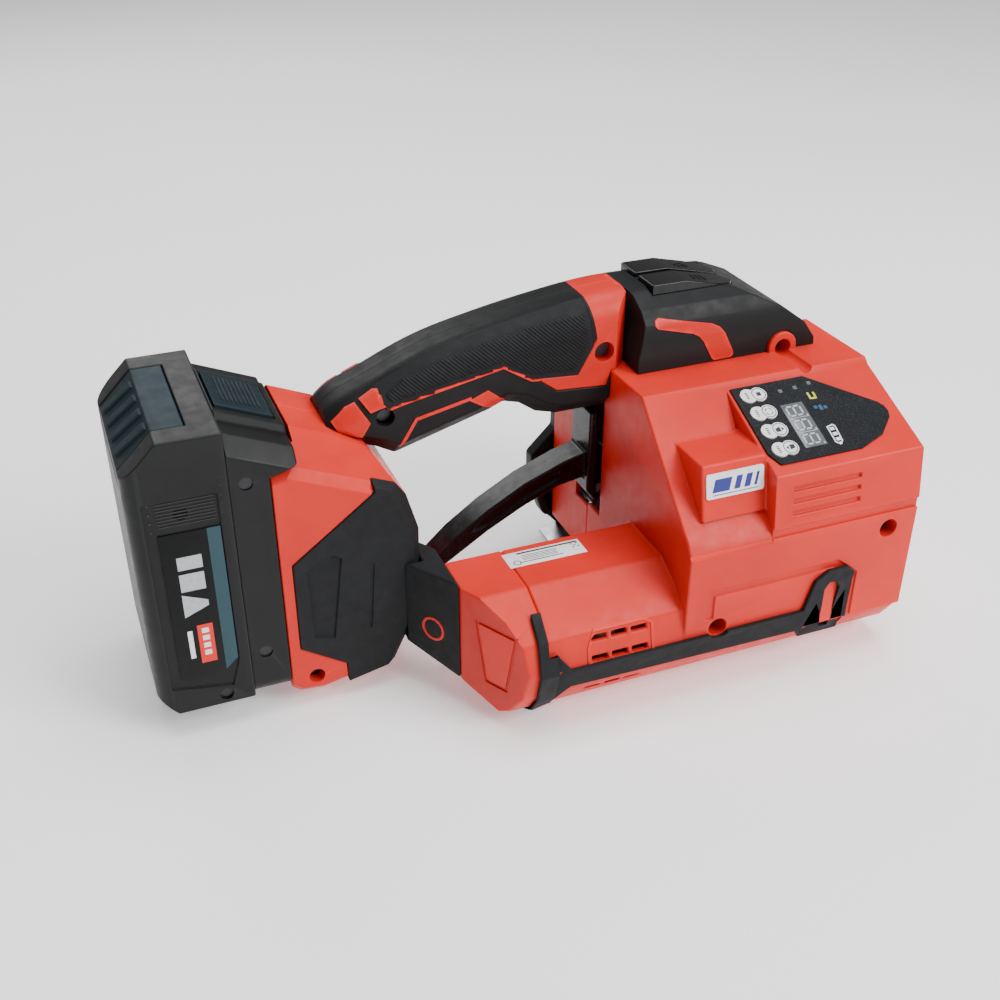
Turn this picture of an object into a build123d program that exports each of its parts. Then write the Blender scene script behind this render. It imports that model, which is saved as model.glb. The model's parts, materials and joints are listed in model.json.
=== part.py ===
from build123d import *
from math import atan2, cos, degrees, radians, sin
import os

# Battery strapping tool. Millimetres. +X runs from the battery to the working head,
# +Y points from the operator's side to the side where the strap goes in, +Z is up.
# The origin is on the underside of the base plate, below the tension wheel's axis.

# ---------------------------------------------------------------- driving dimensions
wall = 2.5                     # moulded wall thickness
gap = 0.3                      # clearance between pieces that move past each other
fit = 0.05                     # radial clearance of a running fit

battery_height = 117.0
battery_width = 76.0
battery_base = 10.0            # height of the battery's lower end over the ground
battery_outer_x = -251.5
battery_joint_x = -215.0       # joint plane of the two battery shells
battery_inner_x = -200.3
battery_top = battery_base + battery_height
cell_diameter = 18.3
cell_length = 65.0

receiver_left_x = -200.0
receiver_half_width = 37.0
handle_half_width = 17.0

head_left_x = -55.0
head_right_x = 49.0
near_y = -90.0                 # operator's side of the head and of the motor barrel
far_shell_y = 38.0
cover_far_y = 46.0             # outer face of the side cover
head_top = 112.0

barrel_radius = 29.0
barrel_y = near_y + barrel_radius
barrel_z = barrel_radius
barrel_left_x = -112.5
barrel_flat_z = 55.5           # flat on top of the barrel

base_plate_top = 5.0
tooth_plate_top = 8.7
wheel_radius = 20.0
wheel_z = barrel_z             # the drive shaft crosses the motor's axis
wheel_low_y = 16.0
wheel_high_y = 32.0
rocker_pivot = (-40.0, wheel_z)
rocker_plate_y = ((9.5, 13.5), (34.0, 37.0))

pinion_teeth = 16
crown_teeth = 32
pinion_pitch_radius = 8.0
crown_pitch_radius = 16.0
tooth_depth = 1.7
crown_face_y = barrel_y + pinion_pitch_radius

shaft_radius = 4.0
eccentric_throw = 1.2
eccentric_y = 24.0
eccentric_z = 42.0
weld_motor_y = -32.0
weld_motor_z = 78.0
pulley_radius = 8.0
pulley_x = (36.0, 42.0)

lever_pivot = (-48.0, 66.0)
lever_half_width = 11.0

key_travel = 0.3                # the display keys are a film over switches

os.makedirs("parts", exist_ok=True)


# ---------------------------------------------------------------- drawing helpers
def side_slab(points, y_low, y_high, mode=Mode.ADD):
    """Pull an outline drawn in the X-Z plane across the tool, from y_low to y_high."""
    with BuildSketch(Plane.XZ.offset(-y_high)) as outline:
        with BuildLine():
            Polyline(*points, close=True)
        make_face()
    extrude(outline.sketch, amount=y_high - y_low, mode=mode)


def end_slab(points, x_low, x_high, mode=Mode.ADD):
    """Pull an outline drawn in the Y-Z plane along the tool, from x_low to x_high."""
    with BuildSketch(Plane.YZ.offset(x_low)) as outline:
        with BuildLine():
            Polyline(*points, close=True)
        make_face()
    extrude(outline.sketch, amount=x_high - x_low, mode=mode)


def plan_slab(points, z_low, z_high, mode=Mode.ADD):
    """Pull an outline drawn in the X-Y plane upwards, from z_low to z_high."""
    with BuildSketch(Plane.XY.offset(z_low)) as outline:
        with BuildLine():
            Polyline(*points, close=True)
        make_face()
    extrude(outline.sketch, amount=z_high - z_low, mode=mode)


def block(x, y, z, mode=Mode.ADD):
    """A box between pairs of limits."""
    with Locations(((x[0] + x[1]) / 2, (y[0] + y[1]) / 2, (z[0] + z[1]) / 2)):
        Box(x[1] - x[0], y[1] - y[0], z[1] - z[0], mode=mode)


def rod(axis, centre, span, radius, mode=Mode.ADD):
    """A round bar along X, Y or Z; centre holds its other two coordinates."""
    plane = {"x": Plane.YZ, "y": Plane.XZ, "z": Plane.XY}[axis]
    start = -span[1] if axis == "y" else span[0]
    with BuildSketch(plane.offset(start)) as section:
        with Locations(centre):
            Circle(radius)
    extrude(section.sketch, amount=span[1] - span[0], mode=mode)


def finish(piece, name):
    """Name a finished piece and write it."""
    piece.part.label = name
    export_step(piece.part, f"parts/{name}.step")


def mirrored(points):
    """An outline's points with the Y coordinate turned over, for a symmetric section."""
    return [(-y, z) for y, z in reversed(points)]


# ---------------------------------------------------------------- shared outlines
def battery_outline(inset):
    """Side view of the lower battery shell, inset evenly, open towards the joint plane."""
    left = battery_outer_x + inset
    low = battery_base + inset
    high = battery_top - inset
    bevel = 13.5
    foot = 7.0
    joint = battery_joint_x
    return [(joint, low), (left + foot, low), (left, low + foot), (left, high - bevel),
            (left + bevel, high), (joint, high)]


# The battery's head slopes down towards the handle, and the receiver carries the slope on.
head_slope = -0.42
cap_right_x = -189.5
receiver_outline = [(receiver_left_x, 7), (-197, 4.5), (-187, 3.5), (-157, 10), (-148.5, 27),
                    (-145, 44), (-144.5, 70), (-149, 86), (-160, 102), (-172, 108.6),
                    (cap_right_x + gap, 116), (cap_right_x + gap, 107.6), (receiver_left_x, 104.9)]

handle_top = [(-172.5, 112.5), (-165, 117.8), (-156, 121.5), (-144, 126.7), (-127.5, 132.8),
              (-110, 137), (-93, 140.3), (-76, 143), (-60, 145), (-47.3, 145.6)]
handle_bottom = [(-47.3, 96), (-77, 96), (-86, 98.5), (-93, 103.5), (-100, 105.5), (-106, 103),
                 (-146, 91.5), (-154, 96), (-165, 100), (-173, 106)]
collar_outline = [(-72, 160), (-47.3, 160), (-44.5, 134), (-47.3, 120), (-47.3, head_top + 2),
                  (-55, head_top + 2), (-57, 107.5), (-79, 109), (-89, 116.5), (-69, 116.5),
                  (-62, 129), (-65, 144)]
grip_outline = [(-150, 113.5), (-144, 115), (-102, 123.5), (-90, 116), (-70, 114.5), (-63.5, 126),
                (-66.5, 147), (-104, 141), (-144, 129), (-153, 124)]

shell_top = head_top + 2
beyond = 12                    # the sections run past the joint plane and are cut off there
head_left_section = [(beyond, 1), (-61, 0), (-72, 2), (-81, 8), (-87, 17), (-90, 29), (-90, 66),
                     (-86.5, 72), (-81, 77), (-45.5, head_top), (-43.5, shell_top), (-25, shell_top),
                     (beyond, shell_top)]
panel_low = (-87, 93.5)        # lower and upper edge of the sloping display panel, Y and Z
panel_high = (-45, head_top)
pod_section = [(beyond, 20), (-90, 20), (-90, 71), panel_low, panel_high, (beyond, head_top)]
lean = (panel_low[0] - near_y) / (panel_low[1] - 71)   # of the face between the step and the panel
groove_depth = 1.2
panel_tilt = degrees(atan2(panel_high[1] - panel_low[1], panel_high[0] - panel_low[0]))


battery_screw_places = [(-209, 105), (-209, 30)]
lower_screw_places = [(-233, 98), (-226, 14.5)]
# X, Z and depth of each housing screw's head, and the radius of the hole that it sits in
housing_screw_places = {"handle": (-150.5, 110.4, -13.5, 3.6), "collar": (-58.5, 122.5, -13.5, 4.2),
                        "cover": (19.5, 115.7, -20, 3.6), "receiver": (-190, 12, -32, 3.2),
                        "head": (-40, 31.5, -84, 4.0), "base": (36, 60, -85, 4.0)}
boss_radius = 6.6
screw_head_radius = 2.9
screw_shank_radius = 1.6


def screw_bore(name):
    """The deep round hole over a housing screw, and the hole for its shank."""
    x, z, head_y, radius = housing_screw_places[name]
    rod("y", (x, z), (head_y - 80, head_y + 2), radius, mode=Mode.SUBTRACT)
    rod("y", (x, z), (head_y + 1, head_y + 6), screw_shank_radius, mode=Mode.SUBTRACT)


def screw_ports(places):
    """Round holes through both side walls of the battery for its recessed screws."""
    for x, z in places:
        rod("y", (x, z), (-60, -30), 2.6, mode=Mode.SUBTRACT)
        rod("y", (x, z), (30, 60), 2.6, mode=Mode.SUBTRACT)


# ---------------------------------------------------------------- battery
with BuildPart() as battery_lower_shell:
    side_slab(battery_outline(0), -battery_width / 2, battery_width / 2)
    long_edges = battery_lower_shell.edges().filter_by(Axis.Z)
    fillet(long_edges.sort_by(Axis.X)[:2], radius=7)
    side_slab(battery_outline(wall), wall - battery_width / 2, battery_width / 2 - wall,
              mode=Mode.SUBTRACT)
    # pocket for the moulded end panel
    block((battery_outer_x - 1, -226), (-27, 27), (battery_top - 22, battery_top + 1),
          mode=Mode.SUBTRACT)
    screw_ports(lower_screw_places)
    # recess for the label on the operator's side
    side_slab([(-246, 22), (-223, 18), (-219.5, 30), (-219.5, 104), (-246, 104)],
              -battery_width / 2 - 1, 0.8 - battery_width / 2, mode=Mode.SUBTRACT)
finish(battery_lower_shell, "battery_lower_shell")

with BuildPart() as battery_end_panel:
    side_slab(battery_outline(0.2), -26.7, 26.7)
    block((battery_outer_x - 1, -226.3), (-30, 30), (battery_top - 21.7, battery_top + 1),
          mode=Mode.INTERSECT)
    side_slab(battery_outline(4), -30, 30, mode=Mode.SUBTRACT)
    # slanted thumb fins over the bevelled corner
    bevel_plane = Plane(origin=(-244.4, 0, 119.9), x_dir=(0, 1, 0), z_dir=(-0.707, 0, 0.707))
    with BuildSketch(bevel_plane) as fins:
        for fin_y in (-19, -7, 5, 17):
            with BuildLine():
                Polyline((fin_y - 4, -8), (fin_y + 1, -8), (fin_y + 6, 8), (fin_y + 1, 8), close=True)
            make_face()
    extrude(fins.sketch, amount=1.1)
finish(battery_end_panel, "battery_end_panel")

def cap_height(x):
    """Height of the battery's sloping head above the point x."""
    return battery_top + head_slope * (x - battery_joint_x)


# across the tool, seen along the slope: Y, and height over the slope
slope_direction = Vector(1, 0, head_slope).normalized()
slope_plane = Plane(origin=(battery_joint_x, 0, battery_top), x_dir=(0, 1, 0), z_dir=slope_direction)


def along_slope(points, start, length, mode=Mode.ADD):
    """Pull an outline drawn across the slope down along it."""
    with BuildSketch(slope_plane.offset(start)) as outline:
        with BuildLine():
            Polyline(*points, close=True)
        make_face()
    extrude(outline.sketch, amount=length, mode=mode)


cell_column_x = (-238.2, -219.7)
top_cell_z = 99.6
cell_pitch = 18.9
flank = [(-45, 5), (-45, -9), (-37.5, -9), (-31, -2.6), (-21.6, -2.6), (-19, 0), (-19, 5)]
with BuildPart() as battery_upper_shell:
    side_slab([(battery_joint_x, battery_base), (battery_inner_x, battery_base), (battery_inner_x, 105.2),
               (cap_right_x, 108.2), (cap_right_x, cap_height(cap_right_x)),
               (battery_joint_x, battery_top)], -37.5, 37.5)
    fillet(battery_upper_shell.edges().filter_by(Axis.X), radius=6)
    # the flanks lie lower than the raised middle that holds the release button
    along_slope(flank, -5, 40, mode=Mode.SUBTRACT)
    along_slope(mirrored(flank), -5, 40, mode=Mode.SUBTRACT)
    block((battery_joint_x - 1, battery_inner_x - wall), (-35, 35),
          (battery_base + wall, battery_top - 24), mode=Mode.SUBTRACT)
    # room for the topmost cell of the inner row
    rod("y", (cell_column_x[1], top_cell_z), (-35, 35), cell_diameter / 2 + gap, mode=Mode.SUBTRACT)
    # slide rails that run in the receiver
    block((battery_inner_x - 1, -196.0), (-19, 19), (16, 104))
    block((-196.0, -191.0), (-24, 24), (16, 104))
    # shaft for the release button and its spring
    side_slab([(-214, battery_top + 3), (-214, 116.2), (-204, 116.2), (-192.3, 110.9),
               (-192.3, battery_top + 3)], -15.5, 15.5, mode=Mode.SUBTRACT)
    rod("z", (-207.5, 0), (battery_top - 20, battery_top), 4.0, mode=Mode.SUBTRACT)
    screw_ports(battery_screw_places)
finish(battery_upper_shell, "battery_upper_shell")

button_proud = 0.9
with BuildPart() as battery_release_button:
    side_slab([(-213.6, 120.6), (-204, 120.6), (-192.8, 115.6), (-192.8, cap_height(-192.8) + button_proud),
               (-213.6, cap_height(-213.6) + button_proud)], -15, 15)
    # grip ribs across the sloping face
    rib_plane = Plane(origin=slope_plane.origin + slope_plane.y_dir * (button_proud - 0.3),
                      x_dir=slope_direction, z_dir=slope_plane.y_dir)
    with BuildSketch(rib_plane) as release_ribs:
        with GridLocations(1.75, 0, 9, 1):
            with Locations((12.4, 0)):
                Rectangle(0.8, 21)
    extrude(release_ribs.sketch, amount=1.0)
finish(battery_release_button, "battery_release_button")


def coil_spring(centre, z_low, z_high, coil_radius, wire_radius, turns):
    """A helical compression spring standing upright."""
    height = z_high - z_low - 2 * wire_radius
    path = Helix(pitch=height / turns, height=height, radius=coil_radius,
                 center=(centre[0], centre[1], z_low + wire_radius), mode=Mode.PRIVATE)
    start = path @ 0
    with BuildSketch(Plane(origin=start, z_dir=path % 0)) as wire:
        Circle(wire_radius)
    sweep(wire.sketch, path=path)


with BuildPart() as battery_latch_spring:
    coil_spring((-207.5, 0), battery_top - 19.5, battery_top - 6.8, 2.8, 0.5, 5)
finish(battery_latch_spring, "battery_latch_spring")

with BuildPart() as battery_cells:
    for cell_x in cell_column_x:
        for column in range(5):
            rod("y", (cell_x, top_cell_z - column * cell_pitch), (-cell_length / 2, cell_length / 2),
                cell_diameter / 2)
finish(battery_cells, "battery_cells")

with BuildPart() as battery_terminals:
    with Locations(*[(-190.2, y, 34) for y in (-15, -5, 5, 15)]):
        Box(1.4, 1.0, 22)
finish(battery_terminals, "battery_terminals")

with BuildPart() as battery_screws:
    for screw_x, screw_z in battery_screw_places + lower_screw_places:
        depth = battery_width / 2 - 1.2
        rod("y", (screw_x, screw_z), (-depth, -depth + 1.6), 2.6)
        rod("y", (screw_x, screw_z), (depth - 1.6, depth), 2.6)
finish(battery_screws, "battery_screws")

# ---------------------------------------------------------------- receiver for the battery
roof = [(-45, -15.9), (-37, -11), (-18, 0), (-18, 30), (-45, 30)]
# soft pad on the side, from the neck of the handle to the lug at the bottom
pad_outline = [(-195.4, 27), (-177.5, 15), (-177, 0), (-130, 0), (-130, 106), (-163.8, 106), (-161.8, 91),
               (-195.4, 66)]
pad_seat_y = 33.5
with BuildPart() as receiver_near_shell:
    side_slab(receiver_outline, -receiver_half_width, 0)
    # the top slopes down to both sides like a roof
    along_slope(roof, -5, 120, mode=Mode.SUBTRACT)
    chamfer(receiver_near_shell.edges().filter_by(Axis.Y, reverse=True)
            .filter_by_position(Axis.Y, -receiver_half_width - 0.1, -receiver_half_width + 0.1)
            .sort_by(Axis.X)[1:], length=3)
    # hollow, the rail slot that opens upwards, and the seat of the soft pad
    side_slab([(-186, 10), (-162, 16), (-152, 45), (-152, 66), (-155, 82), (-166, 92), (-186, 98)],
              -31, 1, mode=Mode.SUBTRACT)
    block((receiver_left_x - 1, -195.6), (-19.4, 1), (14, 140), mode=Mode.SUBTRACT)
    block((-196.3, -188.5), (-24.4, 1), (14, 140), mode=Mode.SUBTRACT)
    side_slab(pad_outline, -40, -pad_seat_y, mode=Mode.SUBTRACT)
    screw_bore("receiver")
finish(receiver_near_shell, "receiver_near_shell")

with BuildPart() as receiver_far_shell:
    add(mirror(receiver_near_shell.part, about=Plane.XZ, mode=Mode.PRIVATE))
finish(receiver_far_shell, "receiver_far_shell")

with BuildPart() as receiver_pad_near:
    side_slab(receiver_outline, -receiver_half_width - 0.5, -pad_seat_y)
    along_slope([(y - 0.5, z + 0.5) for y, z in roof], -5, 120, mode=Mode.SUBTRACT)
    side_slab(pad_outline, -40, -pad_seat_y, mode=Mode.INTERSECT)
    chamfer(receiver_pad_near.edges().filter_by(Axis.Y, reverse=True)
            .filter_by_position(Axis.Y, -receiver_half_width - 0.6, -receiver_half_width - 0.4)
            .sort_by(Axis.X)[-5:], length=3)
    # shield-shaped finger recess and a thin groove beside it
    side_slab([(-190, 62.4), (-179.9, 67.3), (-176.6, 65.3), (-181.6, 28.7), (-189.5, 30.9)],
              -40, -36.6, mode=Mode.SUBTRACT)
    side_slab([(-165, 60), (-163.8, 60), (-166.3, 30), (-167.5, 30)], -40, -36.9, mode=Mode.SUBTRACT)
finish(receiver_pad_near, "receiver_pad_near")

with BuildPart() as receiver_pad_far:
    add(mirror(receiver_pad_near.part, about=Plane.XZ, mode=Mode.PRIVATE))
finish(receiver_pad_far, "receiver_pad_far")

with BuildPart() as terminal_block:
    block((-186, -178), (-22, 22), (20, 50))
    block((-187, -182), (-3.5, 3.5), (22, 48), mode=Mode.SUBTRACT)
finish(terminal_block, "terminal_block")

# ---------------------------------------------------------------- handle
grip_seat_y = 10
handle_round = 11


with BuildPart() as handle_solid:
    with BuildSketch(Plane.XZ.offset(-handle_half_width)) as handle_side:
        with BuildLine():
            crest = Spline(*handle_top)
            Polyline(crest @ 1, *handle_bottom, crest @ 0)
        make_face()
    extrude(handle_side.sketch, amount=2 * handle_half_width)
    for side in (0, -1):
        under_edges = (handle_solid.faces().sort_by(Axis.Y)[side].edges()
                       .filter_by(GeomType.LINE)
                       .filter_by_position(Axis.X, -170, -46))
        chamfer(under_edges, length=6)
    for side in (0, -1):
        crest_edge = handle_solid.faces().sort_by(Axis.Y)[side].edges().filter_by(GeomType.BSPLINE)
        fillet(crest_edge, radius=handle_round)
    # the neck ends where the receiver and the head begin
    side_slab(receiver_outline, -60, 60, mode=Mode.SUBTRACT)
    block((head_left_x, 0), (-60, 60), (80, shell_top), mode=Mode.SUBTRACT)

with BuildPart() as collar_solid:
    add(handle_solid.part)
    side_slab(collar_outline, -60, 60, mode=Mode.INTERSECT)

with BuildPart() as grip_near:
    add(handle_solid.part)
    side_slab(grip_outline, -60, -grip_seat_y, mode=Mode.INTERSECT)
finish(grip_near, "grip_insert_near")

with BuildPart() as grip_far:
    add(mirror(grip_near.part, about=Plane.XZ, mode=Mode.PRIVATE))
finish(grip_far, "grip_insert_far")

with BuildPart() as handle_body:
    add(handle_solid.part)
    side_slab(collar_outline, -60, 60, mode=Mode.SUBTRACT)
    # wiring channel
    side_slab([(-156, 109), (-150, 101), (-104, 112), (-78, 106), (-60, 106), (-60, 134),
               (-100, 133), (-140, 122)], -7.5, 7.5, mode=Mode.SUBTRACT)
    side_slab(grip_outline, -60, -grip_seat_y, mode=Mode.SUBTRACT)
    side_slab(grip_outline, grip_seat_y, 60, mode=Mode.SUBTRACT)
    screw_bore("handle")

for piece_name, whole in (("handle", handle_body), ("handle_collar", collar_solid)):
    for side_name, kept in (("near", Keep.BOTTOM), ("far", Keep.TOP)):
        with BuildPart() as half:
            add(whole.part)
            block((-200, 0), (0, 60) if kept == Keep.BOTTOM else (-60, 0), (0, 200),
                  mode=Mode.SUBTRACT)
            if piece_name == "handle_collar":
                side_slab(grip_outline, -60, -grip_seat_y, mode=Mode.SUBTRACT)
                side_slab(grip_outline, grip_seat_y, 60, mode=Mode.SUBTRACT)
                screw_bore("collar")
                rod("x", (0, 122), (-80, -40), 8, mode=Mode.SUBTRACT)
        finish(half, f"{piece_name}_{side_name}" if piece_name != "handle"
               else f"handle_{side_name}_shell")

# ---------------------------------------------------------------- head shells and barrel
barrel_section = [(barrel_y + 20, barrel_flat_z), (barrel_y + 29, 44), (barrel_y + 29, 6),
                  (barrel_y + 23, 0), (barrel_y, 0), (-72, 2), (-81, 8), (-87, 17), (near_y, 29),
                  (-87, 42), (-79.5, 50), (-68, barrel_flat_z)]


pod_left_x = -19
lower_panel_outline = [(-46, 36), (-46, 50), (14, 50), (24, 42), (24, 14), (20, 14), (20, 40),
                       (12.5, 46.5), (-42.5, 46.5), (-42.5, 36)]


def inner(points, amount):
    """The same outline moved evenly inwards, as a sketch in the Y-Z plane."""
    with BuildSketch(Plane.YZ) as shrunk:
        with BuildLine():
            Polyline(*points, close=True)
        make_face()
        offset(amount=-amount, kind=Kind.INTERSECTION)
    return shrunk.sketch


with BuildPart() as head_near_shell:
    end_slab(head_left_section, head_left_x, head_right_x)
    end_slab(pod_section, pod_left_x, head_right_x)
    # housing of the name plate on the left of the display pod
    end_slab([(-83, 77), (-78.5, 99.5), (-50, 99.5), (-50, 80)], -47, pod_left_x)
    fillet(head_near_shell.edges().filter_by(Axis.Z).sort_by(Axis.X)[-1], radius=6)
    end_slab(barrel_section, barrel_left_x, head_left_x)
    # cavities
    extrude(Pos(head_left_x + wall, 0, 0) * inner(head_left_section, wall),
            amount=head_right_x - head_left_x - 2 * wall, mode=Mode.SUBTRACT)
    extrude(Pos(pod_left_x + wall, 0, 0) * inner(pod_section, wall),
            amount=head_right_x - pod_left_x - 2 * wall, mode=Mode.SUBTRACT)
    extrude(Pos(barrel_left_x - 1, 0, 0) * inner(barrel_section, wall),
            amount=head_left_x - barrel_left_x + 5, mode=Mode.SUBTRACT)
    # everything beyond the joint plane, and the opening under the top cover
    block((-60, 60), (0, beyond + 1), (-1, 130), mode=Mode.SUBTRACT)
    block((-44, 24), (-17, 1), (105, 130), mode=Mode.SUBTRACT)
    # slot for the lever, and the boss that holds its pin
    block((-60, -50), (-lever_half_width - 1, 1), (42, 98), mode=Mode.SUBTRACT)
    block((-54, -43), (-15, -lever_half_width - 0.6), (60, 72))
    rod("y", lever_pivot, (-14, 0), 3, mode=Mode.SUBTRACT)
    # strap passage under the head
    block((-60, 60), (-4, 1), (-1, 14), mode=Mode.SUBTRACT)
    # step along the near face, between the pod and the lower panel
    end_slab([(-95, 67.5), (-89, 67.5), (-89, 71.5), (-95, 71.5)], -60, 60, mode=Mode.SUBTRACT)
    # vent grooves under the display panel, where the face leans back
    for groove_z in (77, 82, 87):
        groove_y = near_y + (groove_z - 71) * lean + groove_depth
        block((-11, 20), (-95, groove_y), (groove_z - 1.1, groove_z + 1.1), mode=Mode.SUBTRACT)
    # vents of the motor barrel
    for vent_z in (30.5, 39):
        for vent_x in (-91, -82.5, -74):
            block((vent_x - 3.3, vent_x + 3.3), (-95, -84), (vent_z - 1.3, vent_z + 1.3),
                  mode=Mode.SUBTRACT)
    for vent_x in (-91, -82.5, -74):
        block((vent_x - 3.3, vent_x + 3.3), (-90, -80), (12, 14), mode=Mode.SUBTRACT)
    # sunken panel with a cut corner on the near face
    side_slab(lower_panel_outline, -95, -89.2, mode=Mode.SUBTRACT)
    # boss for the screw beside the top cover
    rod("y", housing_screw_places["cover"][:2], (-26.5, -14), boss_radius)
    screw_bore("cover")
    for bore in ("head", "base"):
        x, z, head_y, radius = housing_screw_places[bore]
        rod("y", (x, z), (-88, head_y + 4), radius + 1.6)
        screw_bore(bore)
finish(head_near_shell, "head_near_shell")

with BuildPart() as head_far_shell:
    side_slab([(head_left_x, 14), (head_right_x, 14), (head_right_x, 103), (45, 107),
               (20, shell_top), (head_left_x, shell_top)], 0, far_shell_y)
    side_slab([(head_left_x + wall, 0), (head_right_x - wall, 0), (head_right_x - wall, 102),
               (44, 104), (20, head_top - 0.5), (head_left_x + wall, head_top - 0.5)],
              -1, far_shell_y - wall, mode=Mode.SUBTRACT)
    block((head_left_x + wall, head_right_x - wall), (30, 40), (0, 50), mode=Mode.SUBTRACT)
    top_far_edge = (head_far_shell.edges().filter_by(Axis.X)
                    .filter_by_position(Axis.Y, far_shell_y - 0.1, far_shell_y + 0.1))
    chamfer(top_far_edge.sort_by(Axis.Z)[-1], length=3)
    block((-44, 24), (-1, 17), (105, 130), mode=Mode.SUBTRACT)
    block((-60, -50), (-1, lever_half_width + 1), (40, 98), mode=Mode.SUBTRACT)
    block((-54, -43), (lever_half_width + 0.6, 15), (60, 72))
    rod("y", lever_pivot, (0, 14), 3, mode=Mode.SUBTRACT)
finish(head_far_shell, "head_far_shell")

# ---------------------------------------------------------------- barrel cap, arm and bumper
cap_face = Plane(origin=(-128.6, -75.5, 31), x_dir=(-0.477, 0.879, 0), z_dir=(-0.879, -0.477, 0))
with BuildPart() as barrel_cap:
    end_slab(barrel_section, -140, barrel_left_x - 0.1)
    # the end face runs back at a slant towards the arm
    plan_slab([(-118, -95), (-137, -60), (-137, -20), (-150, -20), (-150, -95)], -1, 70,
              mode=Mode.SUBTRACT)
    # the lower edge rises towards the arm
    side_slab([(-119, -1), (-141, 14), (-141, -1)], -100, 0, mode=Mode.SUBTRACT)
    extrude(Pos(-118.5, 0, 0) * inner(barrel_section, 5), amount=30, mode=Mode.SUBTRACT)
    # shallow frame on the slanted end face
    with BuildSketch(cap_face) as cap_frame:
        Trapezoid(21, 28, 80)
        Trapezoid(18, 25, 80, mode=Mode.SUBTRACT)
    extrude(cap_frame.sketch, amount=-0.7, mode=Mode.SUBTRACT)
finish(barrel_cap, "barrel_cap")

with BuildPart() as arm_cover:
    plan_slab([(-137.2, -59.7), (-137.2, -31.8), (-145.6, -18),
               (-151, -18), (-152, -37.7)], 10, 57)
    side_slab([(-120, 62), (-120, 12), (-137, 12), (-153, 20), (-153, 57), (-146, 62)],
              -100, 0, mode=Mode.INTERSECT)
    side_slab(receiver_outline, -38, 0, mode=Mode.SUBTRACT)
    arm_face = Plane(origin=(-144.8, -48.2, 31), x_dir=(0.56, -0.83, 0), z_dir=(-0.83, -0.56, 0))
    with BuildSketch(arm_face) as arm_hole:
        Circle(4.2)
    extrude(arm_hole.sketch, amount=-9, mode=Mode.SUBTRACT)
finish(arm_cover, "arm_cover")

bumper_y = near_y - 1.9
with BuildPart() as rubber_bumper:
    extrude(Pos(-116.5, 0, 0) * inner(barrel_section, -1.8), amount=8)
    extrude(Pos(-117, 0, 0) * inner(barrel_section, -0.05), amount=9, mode=Mode.SUBTRACT)
    block((-120, -100), (-80, 0), (6, 70), mode=Mode.SUBTRACT)
    # strip along the barrel and the loop-shaped pad on the head
    block((-109, 2), (bumper_y, -85), (20.5, 29.5))
    side_slab([(-109, 14), (-103.5, 20.5), (-103.5, 29.5), (-109, 37)], bumper_y, -80)
    side_slab([(-2, 26), (3, 43), (9, 47), (18, 47), (22, 43), (22, 11), (3, 11), (-2, 20)],
              bumper_y, -85)
    side_slab([(8, 38), (10, 41), (13, 41), (15, 38), (14, 17), (10, 17)], -95, -80,
              mode=Mode.SUBTRACT)
    end_slab(head_left_section, -112.4, 60, mode=Mode.SUBTRACT)
    end_slab(pod_section, pod_left_x, 60, mode=Mode.SUBTRACT)
    rod("y", housing_screw_places["head"][:2], (-100, -80), 4.6, mode=Mode.SUBTRACT)
finish(rubber_bumper, "rubber_bumper")

# ---------------------------------------------------------------- top cover and its buttons
cover_outline = [(-47.2, shell_top), (-47.2, 144.2), (-38, 144.8), (-12, 143.6), (0, 141.5), (8, 138),
                 (19, 133), (30, 125), (35.6, 117.5), (36, shell_top)]
cover_section = [(-25, 100), (-25, 127), (-23.6, 133.5), (-20, 139.2), (-14, 143.2), (-7, 145.2), (-7, 150)]
cover_cavity = [(-41.5, 108), (-41.5, 141.2), (-38, 141.7), (-12, 140.5), (-1, 138.4), (6.5, 135),
                (17, 130.4), (27, 122.8), (31, shell_top), (31, 100)]
# outline of the near button from above, about the middle of its row
button_left_x = -37
button_plan = [(button_left_x, -6.5), (-8, -6.5), (0.5, -3.5), (3.5, 0.5), (1, 6.5), (button_left_x, 6.5)]
button_rows = {"tension_button": (-14.5, -1.5), "weld_button": (1.5, 14.5)}

def button_sketch(row):
    """Outline of one button from above, its pointed end to the right; the far one is mirrored."""
    middle = (row[0] + row[1]) / 2
    side = 1 if middle < 0 else -1
    with BuildSketch(Plane.XY) as outline:
        with BuildLine():
            Polyline(*[(x, middle + side * y) for x, y in button_plan], close=True)
        make_face()
    return outline.sketch


with BuildPart() as top_cover:
    side_slab(cover_outline, -26, 26)
    end_slab(cover_section + mirrored(cover_section), -60, 60, mode=Mode.INTERSECT)
    side_slab(cover_cavity, -14.9, 14.9, mode=Mode.SUBTRACT)
    # wider room for the switch board
    block((-41.5, 16), (-18, 18), (108, 129), mode=Mode.SUBTRACT)
    for row in button_rows.values():
        with BuildSketch(Plane.XY.offset(134)) as button_opening:
            add(button_sketch(row))
            offset(amount=gap, kind=Kind.INTERSECTION)
        extrude(button_opening.sketch, amount=16, mode=Mode.SUBTRACT)
    # hollow for the boss of the cover's screw
    rod("y", housing_screw_places["cover"][:2], (-60, -14), boss_radius + 0.1, mode=Mode.SUBTRACT)
    side_slab(collar_outline, -60, 60, mode=Mode.SUBTRACT)
finish(top_cover, "top_cover")

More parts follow.
